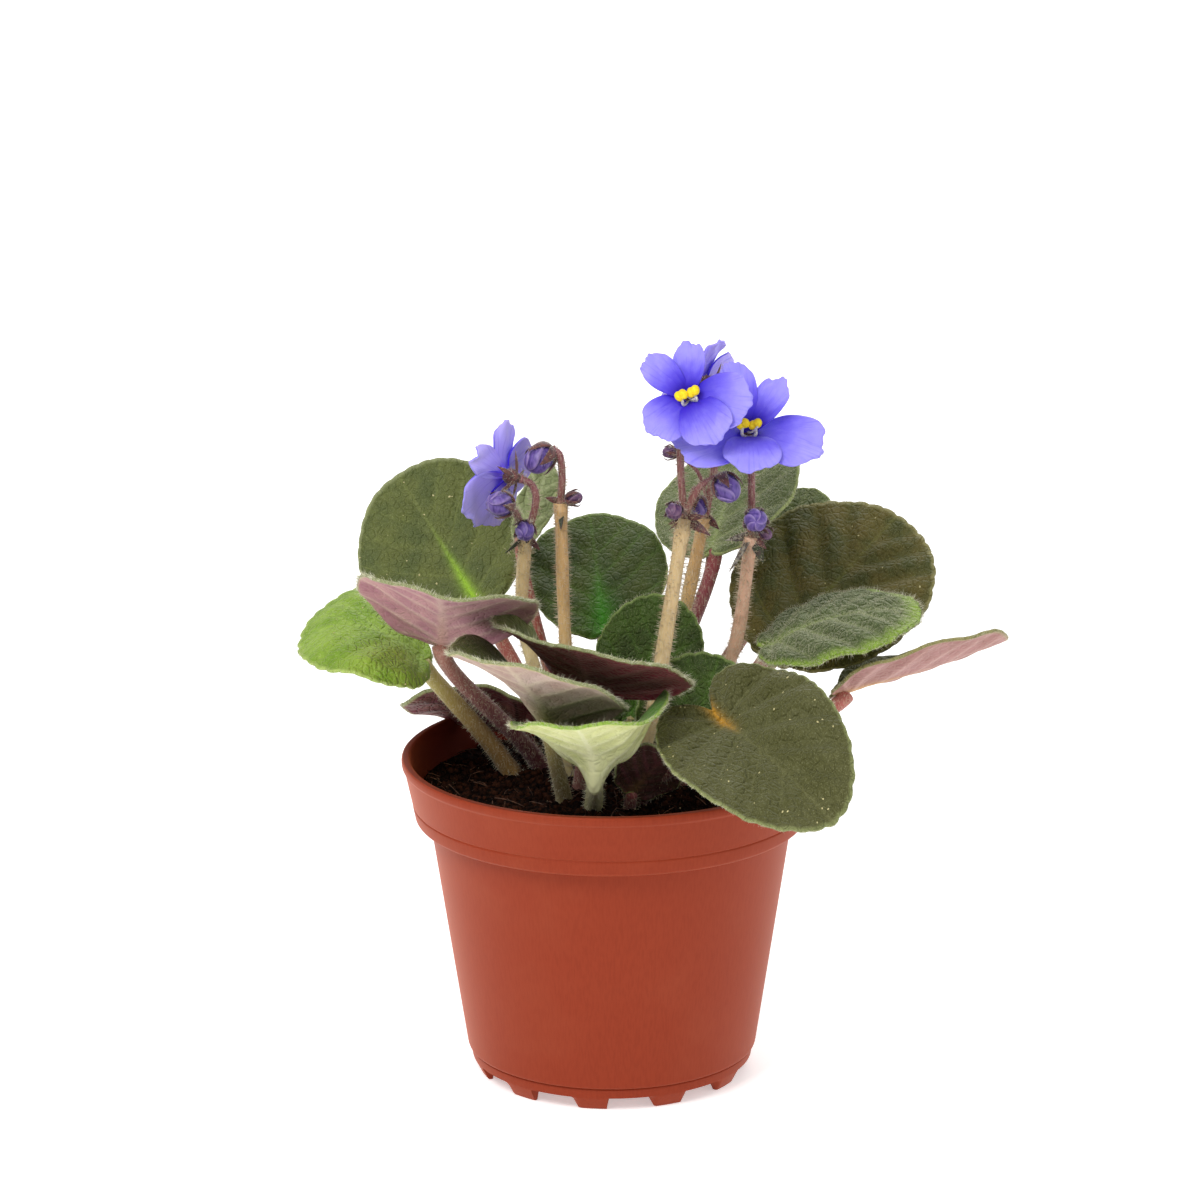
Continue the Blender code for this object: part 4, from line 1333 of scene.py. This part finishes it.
def leaflet(name: str, foot: np.ndarray, way: np.ndarray, broad: np.ndarray, length: float, width: float,
            rise: float, finish: Enum, lift: Optional[np.ndarray] = None) -> bpy.types.Object:
    """A small pointed leaf, such as a sepal or a bract.

    Args:
        name: the piece's name.
        foot: where it starts, in millimetres.
        way: the way it points.
        broad: the direction in which it is broad.
        length: its length.
        width: its greatest width.
        rise: how far its tip bends off its line.
        finish: its finish.
        lift: the way in which it bends.

    Returns:
        The leaflet.
    """
    t = np.linspace(0, 1, 9)[:, None]
    way = unit(way)
    bend = unit(np.cross(way, broad)) if lift is None else lift
    route = foot + way * length * t + bend * rise * t ** 2
    breadth = width / 2 * (0.55 + 0.45 * np.sin(math.pi * t[:, 0] * 0.9)) * (1 - t[:, 0] ** 2.5 * 0.93)
    return dress(tube(name, route, breadth, 8, 0.28, tuple(broad)), finish)


@dataclass(frozen=True)
class Stalk:
    """One flower stalk: its route up, and the thinner pedicels that branch from its head."""

    name: str
    route: Tuple[Point, ...]
    radius: float
    pedicels: Tuple[Tuple[Point, ...], ...]
    skin: Stem = Stem.TAN
    bracts: Tuple[Tuple[Point, float, float, Enum], ...] = ()

    PEDICEL = 1.0
    BRISTLES = Hairs(170, 1.7, 0.16, 0.2)

    def build(self, seed: int) -> None:
        """Build the stalk, its pedicels, its bracts and its hairs.

        Args:
            seed: what the stalk's random draws start from.
        """
        route = smooth_route(self.route, 12)
        t = np.linspace(0, 1, len(route))
        lumps = 1 + 0.05 * np.sin(t * 23 + seed) + 0.25 * step(t, 0.93, 1.0)
        radii = self.radius * lumps * (1.02 - 0.15 * t)
        stem = dress(tube(self.name + "_stem", route - (0, 0, 1), radii, 16), self.skin)
        pieces = [stem]
        for i, points in enumerate(self.pedicels):
            fine = smooth_route(points, 10)
            shares = np.linspace(0, 1, len(fine))
            radii = self.PEDICEL * (1.05 + 0.25 * step(shares, 0.15, 0) + 0.3 * step(shares, 0.9, 1))
            pieces.append(dress(tube(f"{self.name}_pedicel_{i}", fine, radii, 12), Stem.RED))
        for i, (way, length, width, finish) in enumerate(self.bracts):
            broad = across_of(unit(np.array(way, float)), np.array((0.6, 0.1, 0.8)))
            pieces.append(leaflet(f"{self.name}_bract_{i}", route[-1] - (0, 0, 0.5), np.array(way, float),
                                  broad, length, width, 1.0, finish))
        hairs = [dress(self.BRISTLES.grow_on(piece, seed + i), Finish.STALK_HAIR)
                 for i, piece in enumerate(pieces)]
        hand_over(join(self.name + "_grown", pieces + hairs), "stalk", self.name)


AROUND = (((-0.9, -0.3, -0.5), 5.0, 2.2, Finish.SEPAL), ((0.8, -0.5, -0.7), 6.5, 2.6, Finish.SEPAL),
          ((0.2, -0.9, 0.4), 4.0, 2.0, Finish.SEPAL), ((-0.3, 0.9, -0.4), 5.0, 2.2, Finish.BRACT))

STALKS = (
    Stalk("peduncle_left", ((-12, 6, 84), (-20, 6, 112), (-25, 5, 135), (-24, 5, 158)), 2.1, (
        ((-24, 5, 156), (-21, 4, 167), (-22, 5, 172), (-25.4, 3.6, 174.4)),
        ((-24, 5, 157), (-26, 0, 164), (-27.9, -5.4, 168.5)),
    ), Stem.TAN, (((-0.75, -0.5, -0.75), 8.0, 3.6, Finish.BRACT), *AROUND[1:])),
    Stalk("peduncle_left_inner", ((-6, 7, 84), (-11, 4, 108), (-13, 4, 130), (-14, 8, 167)), 2.0, (
        ((-14, 8, 165), (-13.5, 8, 174), (-14.2, 8, 180), (-16.3, 9.5, 181.4)),
    ), Stem.STRAW, (((-0.9, 0, 0.2), 4.5, 2.2, Finish.SEPAL), ((0.05, -0.4, -1), 8.5, 2.2, Finish.BRACT),
                   ((0.8, -0.3, 0.3), 4.5, 2.2, Finish.SEPAL))),
    Stalk("peduncle_tall", ((5, -6, 84), (8, -11, 98), (12, -12, 111), (21, -2, 165)), 2.3, (
        ((21, -2, 164), (20, -2, 178), (20, -2, 189), (21, -1, 194.5), (22.4, -2.9, 198)),
        ((21, -2, 165), (25, -3, 173), (28.5, -3.7, 175.6), (31, -4.7, 176.8)),
    ), Stem.TAN, (*AROUND, ((0.85, -0.5, -0.5), 10.0, 3.0, Finish.SEPAL),
                 ((0.7, -0.5, 0.1), 8.0, 2.6, Finish.SEPAL), ((-0.7, -0.5, -0.7), 6.0, 2.2, Finish.SEPAL))),
    Stalk("peduncle_back", ((11, 15, 84), (17, 18, 112), (22, 17, 135), (27, 12, 162)), 2.1, (
        ((27, 12, 160), (30, 12, 178), (29, 10.4, 194), (29.2, 11, 198.1)),
    ), Stem.STRAW, AROUND),
    Stalk("peduncle_right", ((13, 9, 84), (28, 11, 106), (36, 8, 126), (40, -2, 160)), 2.1, (
        ((40, -2, 158), (40, 0, 174), (39.6, 1.4, 180.5), (38.8, 0.6, 184.6)),
    ), Stem.ROSE, (*AROUND, ((-0.5, -0.4, -0.9), 13.0, 3.2, Finish.WITHERED),
                  ((-0.9, -0.4, -0.2), 8.0, 2.6, Finish.WITHERED),
                  ((0.4, -0.3, -0.9), 9.0, 3.6, Finish.BRACT))),
)


def basis(axis: Point, up: Point) -> Tuple[np.ndarray, np.ndarray, np.ndarray]:
    """Unit directions along an axis, upwards across it, and to its right."""
    ahead = unit(np.array(axis, float))
    upward = across_of(ahead, np.array(up, float))
    return ahead, upward, np.cross(upward, ahead)


@dataclass(frozen=True)
class Flower:
    """One open flower: five petals joined at the throat, a calyx behind and two anthers before."""

    name: str
    centre: Point
    axis: Point
    up: Point
    lobes: Tuple[float, ...]
    slopes: Pair = (0.15, 0.1)
    breadth: Pair = (0.38, 0.62)
    turns: Tuple[float, ...] = (36, 108, 180, 252, 324)

    THICKNESS = 0.5

    def build(self, seed: int) -> None:
        """Build the corolla, the calyx and the anthers.

        Args:
            seed: what the flower's ripples and hairs start from.
        """
        ahead, upward, right = basis(self.axis, self.up)
        middle = np.array(self.centre, float)
        petals = [self.petal(i, length, middle, ahead, upward, right, seed)
                  for i, length in enumerate(self.lobes)]
        hand_over(join("petals_" + self.name, petals), "petal", "corolla_" + self.name)
        cup = tube("cup", middle - np.linspace(0.4, 5.2, 8)[:, None] * ahead,
                   np.array((1.6, 2.0, 2.3, 2.4, 2.3, 2.0, 1.5, 1.0)), 14)
        pieces = [dress(cup, Finish.SEPAL)]
        for i in range(5):
            turn = 2 * math.pi * (i + 0.5) / 5
            out = math.cos(turn) * upward + math.sin(turn) * right
            pieces.append(leaflet(f"sepal_{i}", middle - 4.2 * ahead + 1.2 * out, out + 0.25 * ahead,
                                  np.cross(out, ahead), 6.5, 1.9, 0.8, Finish.SEPAL, ahead))
        hairs = [dress(Hairs(110, 1.2, 0.09, 0.3).grow_on(p, seed + i), Finish.HAIR)
                 for i, p in enumerate(pieces)]
        hand_over(join("sepals_" + self.name, pieces + hairs), "sepal", "calyx_" + self.name)
        self.anthers(middle, ahead, upward, right)

    def petal(self, number: int, length: float, middle: np.ndarray, ahead: np.ndarray, upward: np.ndarray,
              right: np.ndarray, seed: int) -> bpy.types.Object:
        """One petal: a round blade that narrows to the throat and ripples at its edge.

        Args:
            number: its place among the five, clockwise from the top.
            length: its length.
            middle: the flower's throat, in millimetres.
            ahead: the way the flower looks.
            upward: its upward direction.
            right: its direction to the right.
            seed: what its ripples start from.

        Returns:
            The dressed petal.
        """
        turn = math.radians(self.turns[number])
        out = math.cos(turn) * upward + math.sin(turn) * right
        beside = np.cross(ahead, out)
        upper = number in (0, 4)
        half = length * self.breadth[0 if upper else 1]
        slope = self.slopes[0 if upper else 1]

        def spot(across: np.ndarray, along: np.ndarray) -> Tuple[np.ndarray, np.ndarray]:
            """Shares out from the throat and places to the side, in half widths."""
            p, q = 2 * along - 1, 2 * across - 1
            s = (1 + p * np.sqrt(1 - q * q / 2)) / 2
            return s, q * np.sqrt(1 - p * p / 2) * (0.34 + 0.66 * s ** 0.55)

        def shape(across: np.ndarray, along: np.ndarray) -> np.ndarray:
            """The petal's front face."""
            s, w = spot(across, along)
            edge = np.maximum(np.abs(2 * across - 1), np.abs(2 * along - 1))
            ragged = 0.03 * np.sin(7 * w + seed + number) + 0.012 * np.sin(23 * w + 2 * number)
            reach = length * s * (1 + ragged * step(s, 0.6, 1))
            height = slope * reach - 0.07 * length * (s - 0.2) ** 2 + 0.07 * length * w * w * s
            height = height + 0.55 * np.sin(6.5 * w + 1.7 * number + seed) * step(edge, 0.4, 1) * s
            height = height + 0.3 * np.sin(11 * s + 5 * w + number) * step(s, 0.3, 0.8)
            height = height - 1.6 * np.exp(-(reach / 1.8) ** 2) + 0.9 * (number % 3) * step(s, 0.05, 0.4)
            return (middle + reach[:, None] * out + (half * w)[:, None] * beside
                    + (height + 0.25)[:, None] * ahead)

        def flat(across: np.ndarray, along: np.ndarray) -> np.ndarray:
            """The map that the streaks follow: its first value fans out from the throat."""
            s, w = spot(across, along)
            return np.stack((w * half / (0.25 + 0.75 * s), s * length, np.full(len(s), 30.0 * number)), -1)

        made = surface(f"petal_{number}", 34, 26, shape, closed=False, marks={
            "reach": lambda across, along: spot(across, along)[0], "flat": flat})
        edit(made, lambda: bpy.ops.mesh.normals_make_consistent(inside=False))
        face_towards(made, ahead)
        # The front takes the petal colours; the back takes the paler copy, painted light against its shade.
        dress(made, Finish.PETAL, Finish.PETAL_BACK_LIGHTENED)
        apply_modifier(made, "SOLIDIFY", thickness=self.THICKNESS * MM, offset=0.0, material_offset=1)
        return made

    def anthers(self, middle: np.ndarray, ahead: np.ndarray, upward: np.ndarray, right: np.ndarray) -> None:
        """Build two yellow anthers side by side on pale filaments, and the style.

        Args:
            middle: the flower's throat, in millimetres.
            ahead: the way the flower looks.
            upward: its upward direction.
            right: its direction to the right.
        """
        pieces = []
        for side in (-1, 1):
            heart = middle + 3.2 * ahead + side * 1.75 * right
            for lobe in (-1, 1):
                t = np.linspace(-1, 1, 11)
                route = (heart + 0.75 * lobe * (right * 0.8 + ahead * 0.5)
                         + t[:, None] * 1.75 * (upward * 0.85 + right * side * 0.3))
                pieces.append(dress(tube("anther", route, 1.3 * np.sqrt(1.001 - t ** 2), 12), Finish.POLLEN))
            route = smooth_route((middle - ahead - 1.2 * upward, middle + 1.2 * ahead + side * 1.9 * right
                                  - 2.2 * upward, heart - 0.7 * upward), 8)
            radii = np.linspace(0.55, 0.4, len(route))
            pieces.append(dress(tube("filament", route, radii, 10), Finish.FILAMENT))
        style = smooth_route((middle, middle + 2 * ahead - 1.8 * upward + right,
                              middle + 4.6 * ahead - 2.6 * upward + 2.2 * right), 8)
        pieces.append(dress(tube("style", style, np.linspace(0.4, 0.3, len(style)), 8), Finish.FILAMENT))
        hand_over(join("anthers_pair_" + self.name, pieces), "pollen", "anthers_" + self.name)


FLOWERS = (
    Flower("left", (-30, 6, 175), (-0.8, 0.55, 0.1), (-0.2, -0.3, 1), (15, 17, 17, 16, 15)),
    Flower("front", (22, -7.5, 200.7), (-0.1, -0.85, 0.5), (-0.33, 0.3, 1), (15, 18, 16.5, 15, 15.5),
           (0.25, 0.1), (0.37, 0.56), (20, 118, 166, 240, 328)),
    Flower("back", (26, 14, 201), (-0.6, 0.55, 0.55), (-0.3, 0, 1), (12, 13, 13, 13, 12)),
    Flower("right", (39, -2, 189), (0.05, -0.5, 0.87), (0, 0.5, 0.8), (14.5, 22, 18, 22, 16),
           (0.75, 0.05), (0.42, 0.56), (42, 112, 178, 246, 342)),
)


@dataclass(frozen=True)
class Bud:
    """One closed bud: its middle, the way its tip points, its two radii and where its stem starts."""

    name: str
    centre: Point
    axis: Point
    radius: float
    half_length: float
    stem: Optional[Tuple[Point, ...]] = None
    skin: Finish = Finish.BUD
    sepal: float = 1.0

    FOLDS = 5

    def build(self, seed: int) -> None:
        """Build the folded petals, the sepals round them, the stem and the hairs.

        Args:
            seed: what the bud's hairs start from.
        """
        ahead, upward, right = basis(self.axis, (0.1, 0.2, 1))
        middle = np.array(self.centre, float)

        def lap(across: np.ndarray, along: np.ndarray) -> np.ndarray:
            """How far each point is across its own petal, from the hidden edge to the free one."""
            return (self.FOLDS * (across + 0.9 * np.cos(math.pi * along) / (2 * math.pi))) % 1

        def shape(across: np.ndarray, along: np.ndarray) -> np.ndarray:
            """The bud's skin, with the seams where its petals overlap."""
            polar = math.pi * along
            turn = 2 * math.pi * across
            phase = lap(across, along)
            # Each petal overlaps the next: it rises slowly and ends in a step.
            radius = self.radius * np.sin(polar) * (0.84 + 0.2 * phase ** 0.7 * step(phase, 1.0, 0.9))
            height = -self.half_length * np.cos(polar)
            out = np.cos(turn)[:, None] * upward + np.sin(turn)[:, None] * right
            return middle + radius[:, None] * out + height[:, None] * ahead

        body = dress(surface(self.name + "_body", 100, 30, shape, marks={"lap": lap}), self.skin)
        pieces = []
        for i in range(5):
            turn = 2 * math.pi * (i + 0.3) / 5
            out = math.cos(turn) * upward + math.sin(turn) * right
            polar = np.linspace(0.1, 0.66 * self.sepal, 10) * math.pi
            spread = self.radius * np.sin(polar) + 0.25 + 0.5 * step(polar, 1.4, 1.9)
            route = middle + spread[:, None] * out - (self.half_length * np.cos(polar) + 0.2)[:, None] * ahead
            width = 0.46 * self.radius * (1.02 - np.linspace(0, 1, 10) ** 2)
            sepal = tube(f"sepal_{i}", route, width, 8, 0.3, tuple(np.cross(out, ahead)))
            pieces.append(dress(sepal, Finish.SEPAL))
        if self.stem:
            route = smooth_route((*self.stem, tuple(middle - self.half_length * 0.95 * ahead)), 8)
            pieces.append(dress(tube("stem", route, np.full(len(route), min(0.95, 0.33 * self.radius)), 10),
                                Stem.RED))
        hairs = [dress(Hairs(130, 1.3, 0.09, 0.3).grow_on(p, seed + i), Finish.HAIR)
                 for i, p in enumerate(pieces)]
        hand_over(join(self.name + "_closed", [body] + pieces + hairs), "bud", self.name)


BUDS = (
    Bud("bud_left_open", (-31, -8, 170), (-0.7, -0.5, 0.3), 3.6, 4.0),
    Bud("bud_left_low", (-24, -4, 161), (-0.1, -0.9, -0.2), 2.8, 3.0, ((-23, 5, 159),)),
    Bud("bud_left_high", (-20, 8, 179), (-0.6, -0.3, -0.4), 4.0, 4.6),
    Bud("bud_left_tiny", (-10, 6, 168), (0.9, -0.2, 0.2), 1.9, 2.4, ((-14, 8, 166),), Finish.BUD_TIGHT, 1.3),
    Bud("bud_tall_low", (18, -9, 168), (-0.2, -0.9, -0.1), 2.4, 2.8, ((21, -3, 165),), Finish.BUD_TIGHT),
    Bud("bud_tall_side", (33, -7, 174), (0.4, -0.5, -0.6), 3.9, 4.2),
    Bud("bud_middle", (25, 3, 166), (0, -0.3, -0.8), 2.7, 3.0, ((22, 0, 166), (24, 4, 171))),
    Bud("bud_right", (41, -8, 165), (0, -0.8, 0.1), 3.3, 3.6, ((40, -2, 160),)),
    Bud("bud_right_tiny", (44, -4, 160), (0.5, -0.5, -0.4), 1.7, 2.0, ((41, -2, 160),),
        Finish.BUD_TIGHT, 1.3),
    Bud("bud_back_tiny", (17, 11, 180), (-0.8, -0.2, 0.2), 1.7, 2.1, ((28, 12, 165), (25, 12, 174)),
        Finish.BUD_TIGHT, 1.3),
)


# ---------------------------------------------------------------- studio


@dataclass(frozen=True)
class Studio:
    """A white floor, soft light from above and the camera, which looks down a little.

    Lengths are in millimetres and angles in degrees; each lamp has its name, its place and the
    length of its side, in metres, and its power in watts.
    """

    distance: float = 1500.0
    aim_height: float = 45.0
    elevation: float = 19.25
    tilt: float = 15.77
    heading: float = -0.117
    roll: float = 0.253
    lens: float = 155.4
    sensor: float = 36.0
    floor_glow: float = 0.42
    sky: float = 0.6
    lamps: Tuple[Tuple[str, Point, float, float], ...] = (
        ("key", (-0.7, -0.9, 1.3), 0.7, 15.0), ("fill", (1.1, -0.8, 0.7), 1.0, 3.0),
        ("back", (0.2, 1.1, 1.2), 1.0, 9.0))

    def camera(self) -> None:
        """Place the camera."""
        rise = math.radians(self.elevation)
        eye = np.array((0, -self.distance * math.cos(rise), self.aim_height + self.distance * math.sin(rise)))
        data = bpy.data.cameras.new("camera")
        data.lens, data.sensor_width, data.clip_end = self.lens, self.sensor, 50.0
        made = bpy.data.objects.new("camera", data)
        heading, tilt = math.radians(self.heading), math.radians(self.tilt)
        ahead = Vector((math.sin(heading) * math.cos(tilt), math.cos(heading) * math.cos(tilt),
                        -math.sin(tilt)))
        made.rotation_mode = "QUATERNION"
        turn = ahead.to_track_quat("-Z", "Y")
        turn.rotate(Quaternion(ahead, math.radians(self.roll)))
        made.rotation_quaternion = turn
        made.location = eye * MM + AXIS
        bpy.context.scene.collection.objects.link(made)
        bpy.context.scene.camera = made

    def light(self, name: str, place: Point, size: float, power: float) -> None:
        """Add a square soft light that looks at the plant.

        Args:
            name: the light's name.
            place: where it stands, in metres.
            size: the length of its side.
            power: its power in watts.
        """
        data = bpy.data.lights.new(name, "AREA")
        data.size, data.energy = size, power
        lamp = bpy.data.objects.new(name, data)
        lamp.location = place
        lamp.rotation_euler = (Vector((0, 0, 0.1)) - Vector(place)).to_track_quat("-Z", "Y").to_euler()
        bpy.context.scene.collection.objects.link(lamp)

    def build(self) -> None:
        """Set up the floor, the lights, the world and the camera."""
        bpy.ops.object.select_all(action="DESELECT")
        bpy.ops.mesh.primitive_plane_add(size=12.0)
        floor = bpy.context.object
        floor.name = "floor"
        paper = Recipe("paper_white_sweep", 0.9, 0.1)
        paper.colour("#fafafa")
        # The sweep glows a little, as paper lit from behind does, so that it stays white far back.
        paper.shader.inputs["Emission Color"].default_value = linear("#ffffff")
        paper.shader.inputs["Emission Strength"].default_value = self.floor_glow
        floor.data.materials.append(paper.material)
        world = bpy.data.worlds.new("studio")
        world.use_nodes = True
        world.node_tree.nodes["Background"].inputs["Color"].default_value = (1, 1, 1, 1)
        world.node_tree.nodes["Background"].inputs["Strength"].default_value = self.sky
        bpy.context.scene.world = world
        for lamp in self.lamps:
            self.light(*lamp)
        bpy.context.scene.view_settings.view_transform = "Standard"
        self.camera()


def main() -> None:
    """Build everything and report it."""
    logging.basicConfig(level=logging.INFO, format="%(name)s: %(message)s")
    Studio().build()
    Pot().build()
    Soil().build()
    for seed, part in enumerate((*LEAVES, *STALKS, *FLOWERS, *BUDS), 1):
        part.build(seed)


if __name__ == "__main__":
    main()
